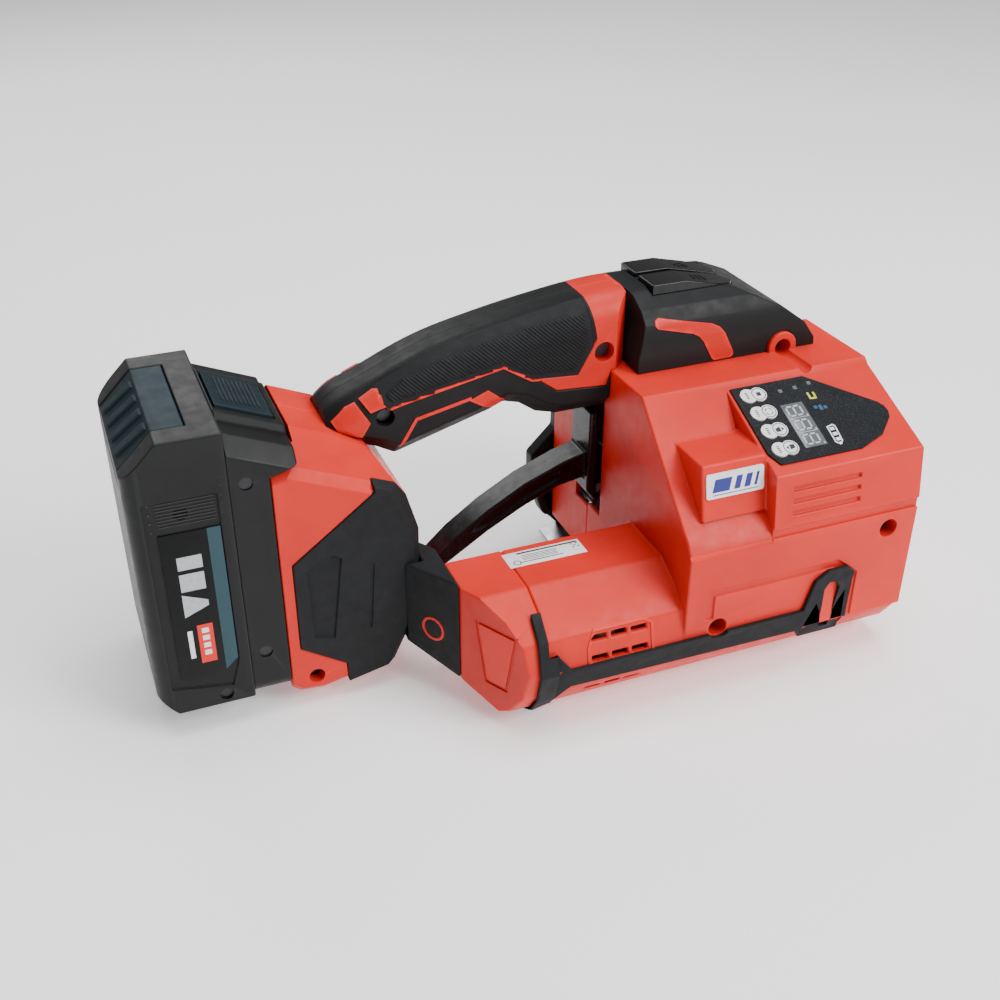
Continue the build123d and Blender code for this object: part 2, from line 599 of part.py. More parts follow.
for button_name, row in button_rows.items():
    row_low, row_high = row
    with BuildPart() as button:
        extrude(Pos(0, 0, 134.5) * button_sketch(row), amount=20)
        side_slab([(-40, 130), (-40, 145.6), (-36, 146.6), (-22, 146.6), (4, 140.6), (4, 130)], -20, 20,
                  mode=Mode.INTERSECT)
        block((button_left_x - 1.2, -7), (row_low, row_high), (134.5, 136.5))
        rod("z", (-19, (row_low + row_high) / 2), (131.2, 135), 2.0)
    finish(button, button_name)
    with BuildPart() as spring:
        coil_spring((-19, (row_low + row_high) / 2), 127.2, 134.3, 3.0, 0.35, 4)
    finish(spring, f"{button_name}_spring")

with BuildPart() as switch_board:
    block((-40, 0), (-16, 16), (124, 125.6))
    for row_low, row_high in button_rows.values():
        with Locations((-19, (row_low + row_high) / 2, 126.3)):
            Box(7, 7, 1.4)
            Cylinder(1.6, 4.0)
finish(switch_board, "switch_board")

# ---------------------------------------------------------------- display on the sloping panel
overlay_points = [(-32, 21.3), (1.5, 21.3), (26.2, 2), (28.1, -0.6), (28.5, -3.5),
                  (27.4, -6.4), (20, -13.5), (8, -18), (-29, -18),
                  (-32, -12)]
key_places = [(-24, 16.2 - 9.2 * row) for row in range(4)]
key_names = ["mode_key", "set_key", "plus_key", "minus_key"]
key_radius = 3.4
key_waist = 2.3                # the two circles of a key stand this far from its middle
panel_middle = (panel_low[1] + panel_high[1]) / 2
panel_plane = Plane(origin=(14.5, (panel_low[0] + panel_high[0]) / 2, panel_middle), x_dir=(1, 0, 0),
                    z_dir=(0, -sin(radians(panel_tilt)), cos(radians(panel_tilt))))

with BuildPart() as display_overlay:
    with BuildSketch(panel_plane) as overlay_shape:
        with BuildLine():
            Polyline(*overlay_points, close=True)
        make_face()
        for key_x, key_y in key_places:
            with Locations((key_x - key_waist, key_y), (key_x + key_waist, key_y)):
                Circle(key_radius + gap, mode=Mode.SUBTRACT)
    extrude(overlay_shape.sketch, amount=0.8)
finish(display_overlay, "display_overlay")

for key_name, key_place in zip(key_names, key_places):
    with BuildPart() as key:
        with BuildSketch(panel_plane.offset(key_travel + 0.05)) as key_shape:
            with Locations((key_place[0] - key_waist, key_place[1]),
                           (key_place[0] + key_waist, key_place[1])):
                Circle(key_radius)
        extrude(key_shape.sketch, amount=0.9)
    finish(key, key_name)

with BuildPart() as display_board:
    with BuildSketch(panel_plane.offset(-8)) as board_shape:
        with Locations((-4, 0)):
            Rectangle(50, 30)
    extrude(board_shape.sketch, amount=1.6)
    # three-digit display module
    with BuildSketch(panel_plane.offset(-6.4)) as digit_shape:
        with Locations((-10.5, -2)):
            Rectangle(10, 22)
    extrude(digit_shape.sketch, amount=3.2)
finish(display_board, "display_board")

with BuildPart() as name_plate:
    # it leans back with the front of its housing
    plate_plane = Plane(origin=(-33, -80.2, 91.2), x_dir=(1, 0, 0), z_dir=(0, -0.9806, 0.1961))
    with BuildSketch(plate_plane) as plate_shape:
        RectangleRounded(25, 10, 1)
    extrude(plate_shape.sketch, amount=0.6)
finish(name_plate, "name_plate")

# ---------------------------------------------------------------- base, strap path, housing
with BuildPart() as base_plate:
    plan_slab([(-58, 0), (-50, -3.6), (44, -3.6), (49, 0), (49, cover_far_y), (-58, cover_far_y)],
              0, base_plate_top)
    # lead-in ramps for the strap
    side_slab([(-58, 2), (-50, 5), (-50, 6), (-58, 6)], -10, 50, mode=Mode.SUBTRACT)
    side_slab([(49, 2), (42, 5), (42, 6), (49, 6)], -10, 50, mode=Mode.SUBTRACT)
    # seat of the tooth plate
    block((-9, 9), (14, 34), (2.5, 6), mode=Mode.SUBTRACT)
    with Locations(*[(x, 0.5, base_plate_top) for x in (-40, 34)]):
        Hole(radius=2.1, depth=base_plate_top)
finish(base_plate, "base_plate")

with BuildPart() as tooth_plate:
    block((-8.9, 8.9), (14.1, 33.9), (2.5, tooth_plate_top - 0.6))
    for tooth in range(9):
        side_slab([(-8.9 + tooth * 1.9, tooth_plate_top - 0.6), (-7.2 + tooth * 1.9,
                   tooth_plate_top - 0.6), (-8.05 + tooth * 1.9, tooth_plate_top)], 15, 33)
finish(tooth_plate, "tooth_plate")

with BuildPart() as strap_guides:
    for guide_x in (-48.5, 42.5):
        block((guide_x - 2, guide_x + 2), (4, 8), (base_plate_top, 13))
finish(strap_guides, "strap_guides")

drive_bearing_y = ((-44, -38), (-7, -1.5))
eccentric_bearing_x = (22.5, 32.5)
with BuildPart() as gear_housing:
    # inner wall with the drive shaft's bearing and the rocker's pivot
    side_slab([(-47, base_plate_top), (-47, 44), (-30, 58), (20, 58), (34.5, 54),
               (34.5, base_plate_top)], -7, -1.5)
    block((-16, 16), (-44, -38), (14, 46))
    block((-16, -11), (-38, -7), (14, 46))
    block((11, 16), (-38, -7), (14, 46))
    rod("y", (0, wheel_z), (-50, 0), 9, mode=Mode.SUBTRACT)
    rod("y", rocker_pivot, (-10, 0), 3, mode=Mode.SUBTRACT)
    # foot under the inner wall
    block((-47, 34.5), (-1.5, 2.5), (base_plate_top, 9.5))
    # roof over the wheel, which the rocker spring bears on
    block((-34, 20), (-1.5, 35), (54, 58))
    # bearing blocks of the eccentric shaft
    for bearing_x in eccentric_bearing_x:
        block((bearing_x - 2, bearing_x + 2), (-1.5, 34), (34, 52))
        rod("x", (eccentric_y, eccentric_z), (bearing_x - 3, bearing_x + 3), 6, mode=Mode.SUBTRACT)
    block((20, 34.5), (-1.5, 34), (50, 58))
finish(gear_housing, "gear_housing")

with BuildPart() as side_cover:
    side_slab([(-50, 5.3), (-60, 16), (-66, 34), (-66, 48), (-54, 60), (-53, 93), (-47, 98),
               (38, 98), (49, 90), (49, 5.3)], far_shell_y + 0.1, cover_far_y)
    side_slab([(-48, 0), (-57, 18), (-62, 34), (-62, 46), (-50, 59), (-49, 90), (-46, 94),
               (36, 94), (45, 88), (45, 0)], far_shell_y, cover_far_y - wall, mode=Mode.SUBTRACT)
    # slot where the strap goes in from the side, and the ports it runs out of
    block((-45, 45), (far_shell_y, 60), (0, 12), mode=Mode.SUBTRACT)
    block((-70, 60), (far_shell_y - 1, cover_far_y - wall), (0, 14), mode=Mode.SUBTRACT)
    outer_face_edges = (side_cover.edges()
                        .filter_by_position(Axis.Y, cover_far_y - 0.1, cover_far_y + 0.1)
                        .filter_by_position(Axis.Z, 30, 100))
    chamfer(outer_face_edges, length=1.2)
finish(side_cover, "side_cover")


# ---------------------------------------------------------------- tension drive
with BuildPart() as tension_motor:
    rod("x", (barrel_y, barrel_z), (-106, -48), 22.5)
    rod("x", (barrel_y, barrel_z), (-48, -40), 15)
    rod("x", (barrel_y, barrel_z), (-108, -39), shaft_radius + fit, mode=Mode.SUBTRACT)
    rod("x", (barrel_y, barrel_z), (-102, -52), 18.5, mode=Mode.SUBTRACT)
finish(tension_motor, "tension_motor")

with BuildPart() as tension_rotor:
    rod("x", (barrel_y, barrel_z), (-107, -14.4), shaft_radius)
    rod("x", (barrel_y, barrel_z), (-100, -54), 17.5)
    # crown pinion at the end of the shaft
    rod("x", (barrel_y, barrel_z), (-19, -14.4), pinion_pitch_radius - tooth_depth * 0.62)
    pinion_plane = Plane.YZ.offset(-19)
    with BuildSketch(pinion_plane) as pinion_tooth:
        with Locations((barrel_y, barrel_z)):
            with PolarLocations(pinion_pitch_radius - 0.35, pinion_teeth):
                Trapezoid(1.3, 2.2, 78, rotation=-90)
    extrude(pinion_tooth.sketch, amount=4.6)
finish(tension_rotor, "tension_rotor")

with BuildPart() as drive_shaft:
    rod("y", (0, wheel_z), (crown_face_y - 0.1, -2), shaft_radius)
    rod("y", (0, wheel_z), (crown_face_y + 1.0, crown_face_y + 5.0), crown_pitch_radius + 1.6)
    # crown teeth stand on the rim towards the motor
    with BuildSketch(Plane.XZ.offset(-(crown_face_y + 1.0))) as crown_tooth:
        with Locations((0, wheel_z)):
            with PolarLocations(crown_pitch_radius + 0.3, crown_teeth, start_angle=180 / crown_teeth):
                Rectangle(2.4, 0.85)
    extrude(crown_tooth.sketch, amount=tooth_depth)
    # hub with a cross slot that drives the tension wheel and lets it lift
    rod("y", (0, wheel_z), (-1, 7.5), 8)
    rod("y", (0, wheel_z), (-7, -1), shaft_radius)
    block((-2.8, 2.8), (1.5, 8), (wheel_z - 9, wheel_z + 9), mode=Mode.SUBTRACT)
finish(drive_shaft, "drive_shaft")

with BuildPart() as shaft_bearings:
    for bearing_low, bearing_high in drive_bearing_y:
        rod("y", (0, wheel_z), (bearing_low, bearing_high), 9)
        rod("y", (0, wheel_z), (bearing_low - 1, bearing_high + 1), shaft_radius + fit,
            mode=Mode.SUBTRACT)
    for bearing_x in eccentric_bearing_x:
        rod("x", (eccentric_y, eccentric_z), (bearing_x - 2, bearing_x + 2), 6)
        rod("x", (eccentric_y, eccentric_z), (bearing_x - 4, bearing_x + 4), 3 + fit,
            mode=Mode.SUBTRACT)
finish(shaft_bearings, "shaft_bearings")

with BuildPart() as tension_wheel:
    rod("y", (0, wheel_z), (wheel_low_y, wheel_high_y), wheel_radius - 0.7)
    # knurled rim that grips the strap
    with BuildSketch(Plane.XZ.offset(-wheel_high_y)) as knurl:
        with Locations((0, wheel_z)):
            with PolarLocations(wheel_radius - 0.7, 48):
                RegularPolygon(0.65, 3, rotation=0)
    extrude(knurl.sketch, amount=wheel_high_y - wheel_low_y)
    rod("y", (0, wheel_z), (8.3, 37.2), shaft_radius)
    block((-1.8, 1.8), (2.3, 8.6), (wheel_z - 6, wheel_z + 6))
finish(tension_wheel, "tension_wheel")

with BuildPart() as rocker_arm:
    for plate_low, plate_high in rocker_plate_y:
        with BuildSketch(Plane.XZ.offset(-plate_high)) as plate:
            with BuildLine():
                Polyline((-47, 26), (-40, 21), (-10, 19), (4, 22), (8, 29), (4, 37), (-12, 45),
                         (-38, 45), (-45, 36), close=True)
            make_face()
            with Locations(rocker_pivot):
                Circle(3 + fit, mode=Mode.SUBTRACT)
            with Locations((0, wheel_z)):
                Circle(shaft_radius + fit, mode=Mode.SUBTRACT)
        extrude(plate.sketch, amount=plate_high - plate_low)
    # cross bars that tie the two plates together
    block((-44, -36), (13.5, 34), (36, 42))
    block((-28, -22), (13.5, 34), (20.5, 24))
    block((-28, -20), (13.5, 34), (42, 45))
finish(rocker_arm, "rocker_arm")

with BuildPart() as rocker_spring:
    coil_spring((-24, 24), 45.1, 53.9, 4.0, 0.7, 3)
finish(rocker_spring, "rocker_spring")

# ---------------------------------------------------------------- weld drive and cutter
with BuildPart() as weld_motor:
    rod("x", (weld_motor_y, weld_motor_z), (-24, 26), 16)
    rod("x", (weld_motor_y, weld_motor_z), (-26, 28), 2.5 + fit, mode=Mode.SUBTRACT)
    rod("x", (weld_motor_y, weld_motor_z), (-20, 22), 13.5, mode=Mode.SUBTRACT)
finish(weld_motor, "weld_motor")

with BuildPart() as weld_rotor:
    rod("x", (weld_motor_y, weld_motor_z), (-25, 43), 2.5)
    rod("x", (weld_motor_y, weld_motor_z), (-18, 20), 12.5)
    rod("x", (weld_motor_y, weld_motor_z), pulley_x, pulley_radius)
finish(weld_rotor, "weld_rotor")

with BuildPart() as eccentric_shaft:
    rod("x", (eccentric_y, eccentric_z), (20.3, 43), 3)
    rod("x", (eccentric_y, eccentric_z), pulley_x, pulley_radius)
    rod("x", (eccentric_y + eccentric_throw, eccentric_z), (25, 30), 5)
finish(eccentric_shaft, "eccentric_shaft")

belt_run = (eccentric_y - weld_motor_y, eccentric_z - weld_motor_z)
belt_centres = (belt_run[0] ** 2 + belt_run[1] ** 2) ** 0.5
belt_angle = degrees(atan2(belt_run[1], belt_run[0]))
with BuildPart() as weld_belt:
    with BuildSketch(Plane.YZ.offset(pulley_x[0] + 0.5)) as belt_loop:
        with Locations(Location((weld_motor_y + belt_run[0] / 2, weld_motor_z + belt_run[1] / 2),
                                belt_angle)):
            SlotCenterToCenter(belt_centres, 2 * (pulley_radius + 1.4))
            SlotCenterToCenter(belt_centres, 2 * (pulley_radius + fit), mode=Mode.SUBTRACT)
    extrude(belt_loop.sketch, amount=pulley_x[1] - pulley_x[0] - 1)
finish(weld_belt, "weld_belt")

shoe_slot = 5 + 2 * eccentric_throw + 0.6
with BuildPart() as weld_shoe:
    block((25, 30), (10, 33), (11, 20))
    for side in (-1, 1):
        fork_y = eccentric_y + side * (shoe_slot + 1.25)
        block((25.5, 29.5), (fork_y - 1.25, fork_y + 1.25), (19, 46))
finish(weld_shoe, "weld_shoe")

with BuildPart() as weld_anvil:
    block((24, 31), (10, 33), (base_plate_top, tooth_plate_top))
finish(weld_anvil, "weld_anvil")

with BuildPart() as cutter:
    side_slab([(21.2, 26), (21.2, 13), (22.6, 10.2), (23.4, 10.2), (23.4, 26)], 11, 33)
    block((21.2, 23.4), (11, 15), (24, 32))
finish(cutter, "cutter")

# ---------------------------------------------------------------- boards
with BuildPart() as control_board:
    block((-30, 28), (-80.6, -79), (24, 66))
    with Locations(*[(x, -77.7, z) for x in (-24, -13, -2, 9) for z in (31, 45)]):
        Box(8, 2.6, 9)
    for capacitor_z in (32, 46):
        rod("y", (21, capacitor_z), (-79, -69), 5.5)
finish(control_board, "control_board")

# ---------------------------------------------------------------- lever
lever_blade = [(-57, 60), (-57, 72.5), (-70, 69), (-88, 62), (-105, 52.5), (-120, 42), (-131.5, 31.5),
               (-132.5, 28), (-129, 26.8), (-120, 32.5), (-105, 42), (-88, 51), (-72, 57.5)]
lever_blade_half = 6.5

with BuildPart() as lever:
    rod("y", lever_pivot, (-lever_half_width + 3, lever_half_width - 3), 7)
    block((-58.5, -47), (-lever_half_width + 3, lever_half_width - 3), (60, 72))
    # upright plate outside the wall
    side_slab([(-60.5, 54), (-56.3, 48), (-56.3, 92), (-60, 92)], -lever_half_width + 1,
              lever_half_width - 3)
    # slim curved blade that the hand pulls up
    side_slab(lever_blade, -lever_blade_half, lever_blade_half)
    for side in (-1, 1):
        side_slab([(-112, 43.4), (-103, 45.5), (-88, 54.5), (-72, 61), (-72, 64.5), (-89, 59.5),
                   (-106, 50)],
                  *sorted((side * (lever_blade_half - 1.2), side * (lever_blade_half + 1))),
                  mode=Mode.SUBTRACT)
    rod("y", lever_pivot, (-20, 20), 3 + fit, mode=Mode.SUBTRACT)
finish(lever, "lever")

with BuildPart() as pivot_pins:
    rod("y", lever_pivot, (-14, 14), 3)
    rod("y", rocker_pivot, (-6.9, 37.8), 3)
finish(pivot_pins, "pivot_pins")

# ---------------------------------------------------------------- housing screws
with BuildPart() as housing_screws:
    for screw_x, screw_z, head_y, _ in housing_screw_places.values():
        rod("y", (screw_x, screw_z), (head_y, head_y + 2), screw_head_radius)
        rod("y", (screw_x, screw_z), (head_y + 2, head_y + 6), screw_shank_radius)
finish(housing_screws, "housing_screws")
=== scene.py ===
import json
from math import cos, radians, sin, sqrt

import bmesh
import bpy
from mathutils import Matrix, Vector
from mathutils.bvhtree import BVHTree
from mathutils.geometry import tessellate_polygon

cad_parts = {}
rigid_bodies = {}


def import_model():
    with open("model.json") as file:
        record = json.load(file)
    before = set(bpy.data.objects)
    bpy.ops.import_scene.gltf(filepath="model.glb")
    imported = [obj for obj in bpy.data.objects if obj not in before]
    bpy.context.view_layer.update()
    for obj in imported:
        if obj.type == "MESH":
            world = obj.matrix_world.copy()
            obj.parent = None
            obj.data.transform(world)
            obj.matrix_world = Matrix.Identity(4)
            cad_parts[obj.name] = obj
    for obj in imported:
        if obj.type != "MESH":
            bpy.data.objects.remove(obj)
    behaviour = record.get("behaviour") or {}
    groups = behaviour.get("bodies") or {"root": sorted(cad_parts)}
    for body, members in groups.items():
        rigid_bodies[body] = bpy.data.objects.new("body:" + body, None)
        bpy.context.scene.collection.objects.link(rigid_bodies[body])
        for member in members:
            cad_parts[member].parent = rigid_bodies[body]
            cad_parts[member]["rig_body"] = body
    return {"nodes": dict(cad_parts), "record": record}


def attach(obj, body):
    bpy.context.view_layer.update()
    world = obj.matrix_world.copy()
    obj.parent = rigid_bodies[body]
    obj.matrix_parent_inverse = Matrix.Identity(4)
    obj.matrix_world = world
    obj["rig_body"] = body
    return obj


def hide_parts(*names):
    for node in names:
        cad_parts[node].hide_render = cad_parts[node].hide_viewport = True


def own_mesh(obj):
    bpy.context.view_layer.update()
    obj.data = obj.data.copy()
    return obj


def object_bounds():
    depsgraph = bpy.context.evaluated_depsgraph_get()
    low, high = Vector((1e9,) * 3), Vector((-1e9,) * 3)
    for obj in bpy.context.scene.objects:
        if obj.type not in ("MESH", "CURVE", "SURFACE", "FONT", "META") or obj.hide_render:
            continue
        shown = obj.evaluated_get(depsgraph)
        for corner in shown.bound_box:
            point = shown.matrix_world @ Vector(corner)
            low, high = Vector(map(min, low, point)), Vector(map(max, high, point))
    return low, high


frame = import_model()
cad_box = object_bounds()
NODES = frame["nodes"]
MM = 0.001

# ------------------------------------------------------------------ colours, linear
RED = (0.60, 0.020, 0.012)
BLACK = (0.0085, 0.0088, 0.0095)
SOFT_BLACK = (0.012, 0.013, 0.0145)
GLOSS_BLACK = (0.0045, 0.0045, 0.005)
CASE_BLACK = (0.0075, 0.0078, 0.0082)
SLATE = (0.010, 0.0185, 0.023)
TEAL = (0.012, 0.040, 0.052)
WHITE = (0.78, 0.79, 0.80)
STEEL = (0.50, 0.50, 0.51)
DARK_STEEL = (0.20, 0.20, 0.21)
ALUMINIUM = (0.62, 0.63, 0.64)
BRASS = (0.62, 0.43, 0.20)


# ------------------------------------------------------------------ materials
# pointiness is 0.5 on a flat face: where the lighter edges (edge wear and a painted highlight)
# begin, and where they are complete
WEAR_AND_HIGHLIGHT_START, WEAR_AND_HIGHLIGHT_FULL = 0.51, 0.58


class Nodes:
    """A small builder for one material's node tree."""

    def __init__(self, name):
        self.material = bpy.data.materials.new(name)
        self.material.use_nodes = True
        self.tree = self.material.node_tree
        self.shader = self.tree.nodes["Principled BSDF"]
        coordinates = self.tree.nodes.new("ShaderNodeTexCoord")
        self.place = coordinates.outputs["Object"]

    def link(self, source, target):
        self.tree.links.new(source, target)

    def mapped(self, scale):
        """The object's own coordinates, scaled along each axis."""
        node = self.tree.nodes.new("ShaderNodeMapping")
        node.inputs["Scale"].default_value = scale
        self.link(self.place, node.inputs["Vector"])
        return node.outputs["Vector"]

    def noise(self, size_mm, detail=2.0, vector=None, rough=0.5):
        node = self.tree.nodes.new("ShaderNodeTexNoise")
        node.inputs["Scale"].default_value = 1 / (size_mm * MM)
        node.inputs["Detail"].default_value = detail
        node.inputs["Roughness"].default_value = rough
        self.link(vector or self.place, node.inputs["Vector"])
        return node.outputs["Fac"]

    def cells(self, size_mm):
        node = self.tree.nodes.new("ShaderNodeTexVoronoi")
        node.inputs["Scale"].default_value = 1 / (size_mm * MM)
        self.link(self.place, node.inputs["Vector"])
        return node.outputs["Distance"]

    def ramp(self, value, stops):
        node = self.tree.nodes.new("ShaderNodeValToRGB")
        ramp = node.color_ramp
        while len(ramp.elements) < len(stops):
            ramp.elements.new(0.5)
        for element, (position, colour) in zip(ramp.elements, stops):
            element.position = position
            element.color = (*colour, 1)
        self.link(value, node.inputs["Fac"])
        return node.outputs["Color"]

    def spread(self, value, low, high, start=0.3, end=0.7):
        """Map a value's range from start to end onto low to high."""
        node = self.tree.nodes.new("ShaderNodeMapRange")
        node.inputs["From Min"].default_value = start
        node.inputs["From Max"].default_value = end
        node.inputs["To Min"].default_value = low
        node.inputs["To Max"].default_value = high
        self.link(value, node.inputs["Value"])
        return node.outputs["Result"]

    def mix(self, factor, first, second):
        """Blend two colours by a node's output; each is a colour or a node's output."""
        node = self.tree.nodes.new("ShaderNodeMix")
        node.data_type = "RGBA"
        colours = {"A": first, "B": second}
        for socket in node.inputs:
            if socket.type == "RGBA":
                self.paint(socket, colours[socket.name])
        self.link(factor, node.inputs["Factor"])
        return next(socket for socket in node.outputs if socket.type == "RGBA")

    def paint(self, socket, value):
        if isinstance(value, tuple):
            socket.default_value = (*value, 1)
        else:
            self.link(value, socket)

    def edges(self):
        """0 on flat faces, 1 along raised edges, where handling rubs the surface and where a
        highlight is painted.
        """
        geometry = self.tree.nodes.new("ShaderNodeNewGeometry")
        return self.spread(geometry.outputs["Pointiness"], 0, 1, WEAR_AND_HIGHLIGHT_START, WEAR_AND_HIGHLIGHT_FULL)

    def bump(self, height, depth_mm):
        node = self.tree.nodes.new("ShaderNodeBump")
        node.inputs["Distance"].default_value = depth_mm * MM
        self.link(height, node.inputs["Height"])
        self.link(node.outputs["Normal"], self.shader.inputs["Normal"])


def shade(colour, factor):
    return tuple(min(1.0, c * factor) for c in colour)


def plastic(name, colour, rough=0.42, grain_mm=0.45, grain_depth=0.02, edge_wear_and_highlight=1.35,
            specular=0.3):
    """Moulded plastic: spark-eroded grain, soft blotches and lighter raised edges, partly edge wear
    and partly a painted highlight.
    """
    n = Nodes(name)
    blotch = n.noise(28, 3)
    body = n.ramp(blotch, [(0.3, shade(colour, 0.9)), (0.7, shade(colour, 1.08))])
    scuff = n.noise(2.2, 6, rough=0.7)
    scuffed = n.mix(n.spread(scuff, 0, 0.35, 0.60, 0.74), body, shade(colour, 1.25))
    # raised edges made lighter: partly edge wear, partly a painted highlight
    with_edge_wear_and_highlight = n.mix(n.edges(), scuffed, shade(colour, edge_wear_and_highlight))
    n.link(with_edge_wear_and_highlight, n.shader.inputs["Base Color"])
    n.link(n.spread(n.noise(5, 4), rough - 0.06, rough + 0.08), n.shader.inputs["Roughness"])
    n.shader.inputs["Specular IOR Level"].default_value = specular
    n.bump(n.noise(grain_mm, 2), grain_depth)
    return n.material


def soft_rubber(name, colour, rough=0.62):
    """Soft-touch overmoulding: fine stipple and a dull sheen."""
    n = Nodes(name)
    body = n.ramp(n.noise(18, 4), [(0.3, shade(colour, 0.85)), (0.7, shade(colour, 1.15))])
    specks = n.spread(n.noise(1.1, 5, rough=0.8), 0, 0.3, 0.62, 0.8)
    dust = n.mix(specks, body, shade(colour, 2.2))
    n.link(dust, n.shader.inputs["Base Color"])
    n.link(n.spread(n.noise(4, 3), rough - 0.07, rough + 0.08), n.shader.inputs["Roughness"])
    n.shader.inputs["Specular IOR Level"].default_value = 0.18
    n.bump(n.cells(0.55), 0.02)
    return n.material


def metal(name, colour, rough=0.32, grain=(1, 1, 14), lines_mm=1.2):
    """Ground or drawn metal: fine lines along one axis, with a few stains."""
    n = Nodes(name)
    lines = n.noise(lines_mm, 4, vector=n.mapped(scale=grain))
    body = n.ramp(lines, [(0.3, shade(colour, 0.8)), (0.7, shade(colour, 1.12))])
    n.link(body, n.shader.inputs["Base Color"])
    n.shader.inputs["Metallic"].default_value = 1.0
    n.link(n.spread(n.noise(6, 3), rough - 0.08, rough + 0.12), n.shader.inputs["Roughness"])
    n.bump(lines, 0.01)
    return n.material


def speckled_film(name, colour):
    """Printed polyester film with a fine sparkle."""
    n = Nodes(name)
    specks = n.spread(n.noise(0.5, 1), 0, 1, 0.56, 0.66)
    tone = n.ramp(n.noise(9, 2), [(0.3, shade(colour, 0.85)), (0.7, shade(colour, 1.15))])
    n.link(n.mix(specks, tone, shade(colour, 3.0)), n.shader.inputs["Base Color"])
    n.link(n.spread(n.noise(1.5, 3), 0.40, 0.55), n.shader.inputs["Roughness"])
    n.shader.inputs["Specular IOR Level"].default_value = 0.12
    n.bump(n.noise(0.5, 1), 0.015)
    return n.material


def printed(name, colour, rough=0.4):
    """Ink or label stock with faint mottling."""
    n = Nodes(name)
    tone = n.ramp(n.noise(1.5, 4), [(0.3, shade(colour, 0.93)), (0.7, shade(colour, 1.05))])
    n.link(tone, n.shader.inputs["Base Color"])
    n.link(n.spread(n.noise(3, 2), rough - 0.05, rough + 0.07), n.shader.inputs["Roughness"])
    n.bump(n.noise(0.8, 2), 0.006)
    return n.material


M_RED = plastic("red plastic", RED, rough=0.42, specular=0.22)
M_BLACK = plastic("black plastic", BLACK, rough=0.46, edge_wear_and_highlight=1.8, specular=0.15)
M_CASE = plastic("battery case", CASE_BLACK, rough=0.40, edge_wear_and_highlight=2.2, grain_mm=0.35, specular=0.2)
M_SLATE = plastic("slate plastic", SLATE, rough=0.50, edge_wear_and_highlight=1.7, specular=0.12)
M_GLOSS = plastic("gloss black", GLOSS_BLACK, rough=0.24, grain_depth=0.004, edge_wear_and_highlight=2.0)
M_SOFT = soft_rubber("soft grip", SOFT_BLACK, 0.66)
M_BELT = soft_rubber("belt rubber", GLOSS_BLACK, 0.7)
M_FILM = speckled_film("display film", (0.009, 0.010, 0.012))
M_KEY = printed("key white", WHITE)
M_LABEL = printed("label white", (0.82, 0.83, 0.85), 0.3)
M_BOARD = printed("circuit board", (0.02, 0.12, 0.05))
M_STEEL = metal("ground steel", STEEL)
M_HARD = metal("hardened steel", DARK_STEEL, 0.38)
M_ALU = metal("cast aluminium", ALUMINIUM, 0.45, grain=(1, 1, 1), lines_mm=0.8)
M_BRASS = metal("brass", BRASS, 0.28)
M_COPPER = metal("copper winding", (0.45, 0.16, 0.07), 0.35)
M_CELL = plastic("cell wrap", (0.03, 0.10, 0.25), rough=0.3)
M_SCREW = metal("blackened screw", (0.045, 0.045, 0.048), 0.36)
M_INK = printed("black ink", (0.012, 0.012, 0.014))
M_WINDOW = printed("display window", (0.105, 0.115, 0.125), 0.16)
M_SEGMENT = printed("display segment", (0.42, 0.45, 0.47), 0.3)
M_LAMP = printed("lamp window", (0.10, 0.11, 0.11), 0.25)
M_YELLOW = printed("yellow ink", (0.62, 0.60, 0.03))
M_BLUE = printed("blue ink", (0.012, 0.07, 0.17))
M_PRINT_BLUE = printed("dark blue ink", (0.012, 0.020, 0.22))
M_LABEL_BLACK = plastic("battery label", (0.0035, 0.0037, 0.004), rough=0.3, grain_depth=0.002,
                        specular=0.15)
M_TEAL = plastic("teal stripe", TEAL, rough=0.34, grain_depth=0.003)
M_CASE_DARK = plastic("fine lines", (0.014, 0.0145, 0.015), rough=0.34)

SLOT_MATERIALS = {
    "red_plastic": M_RED, "black_plastic": M_BLACK, "soft_grip": M_SOFT, "battery_case": M_CASE,
    "slate_plastic": M_SLATE, "gloss_black": M_GLOSS, "display_film": M_FILM, "key_white": M_KEY,
    "label_white": M_LABEL, "circuit_board": M_BOARD, "steel": M_STEEL, "hardened_steel": M_HARD,
    "aluminium": M_ALU, "brass": M_BRASS, "copper_winding": M_COPPER, "cell_wrap": M_CELL,
    "belt_rubber": M_BELT,
}
NODE_SLOTS = {s["node"]: s["material_slot"] for s in frame["record"]["subparts"]}
BODY_OF = {n: o["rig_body"] for n, o in NODES.items()}

# nodes whose finish differs from the rest of their slot
NODE_MATERIALS = {"housing_screws": M_SCREW, "battery_screws": M_SCREW}
for node_name, node in NODES.items():
    finish = NODE_MATERIALS.get(node_name, SLOT_MATERIALS[NODE_SLOTS[node_name]])
    node.data.materials.clear()
    node.data.materials.append(finish)


# ------------------------------------------------------------------ mesh helpers
WELD_DISTANCE = 2e-6    # metres: vertices closer than this are one
FLAT_ANGLE = 0.6        # degrees: flatter edges are dissolved
SHARP_ANGLE = 24        # degrees: sharper edges are rounded
ROUNDING_SEGMENTS = 3
ROOM_SHARE = 0.42       # share of the room beside an edge that its rounding may take
CORNER_COS = 0.75       # edges that meet straighter than this don't bound the room
PARALLEL_COS = 0.5      # edges more parallel than this bound it from across the face
RUN_ON_COS = -0.8       # edges that run on straighter than this share one width
SHADING_ANGLE = 35      # degrees: sharper edges are shaded as edges
DRAWN_BEVEL_ANGLE = 30  # degrees: sharper edges of a drawn piece are bevelled


def shown(mesh, name, material, body):
    """Put a finished mesh into the scene, on its body and in its material slot."""
    obj = bpy.data.objects.new(name, mesh)
    bpy.context.scene.collection.objects.link(obj)
    mesh.materials.clear()
    mesh.materials.append(material)
    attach(obj, body)
    return obj


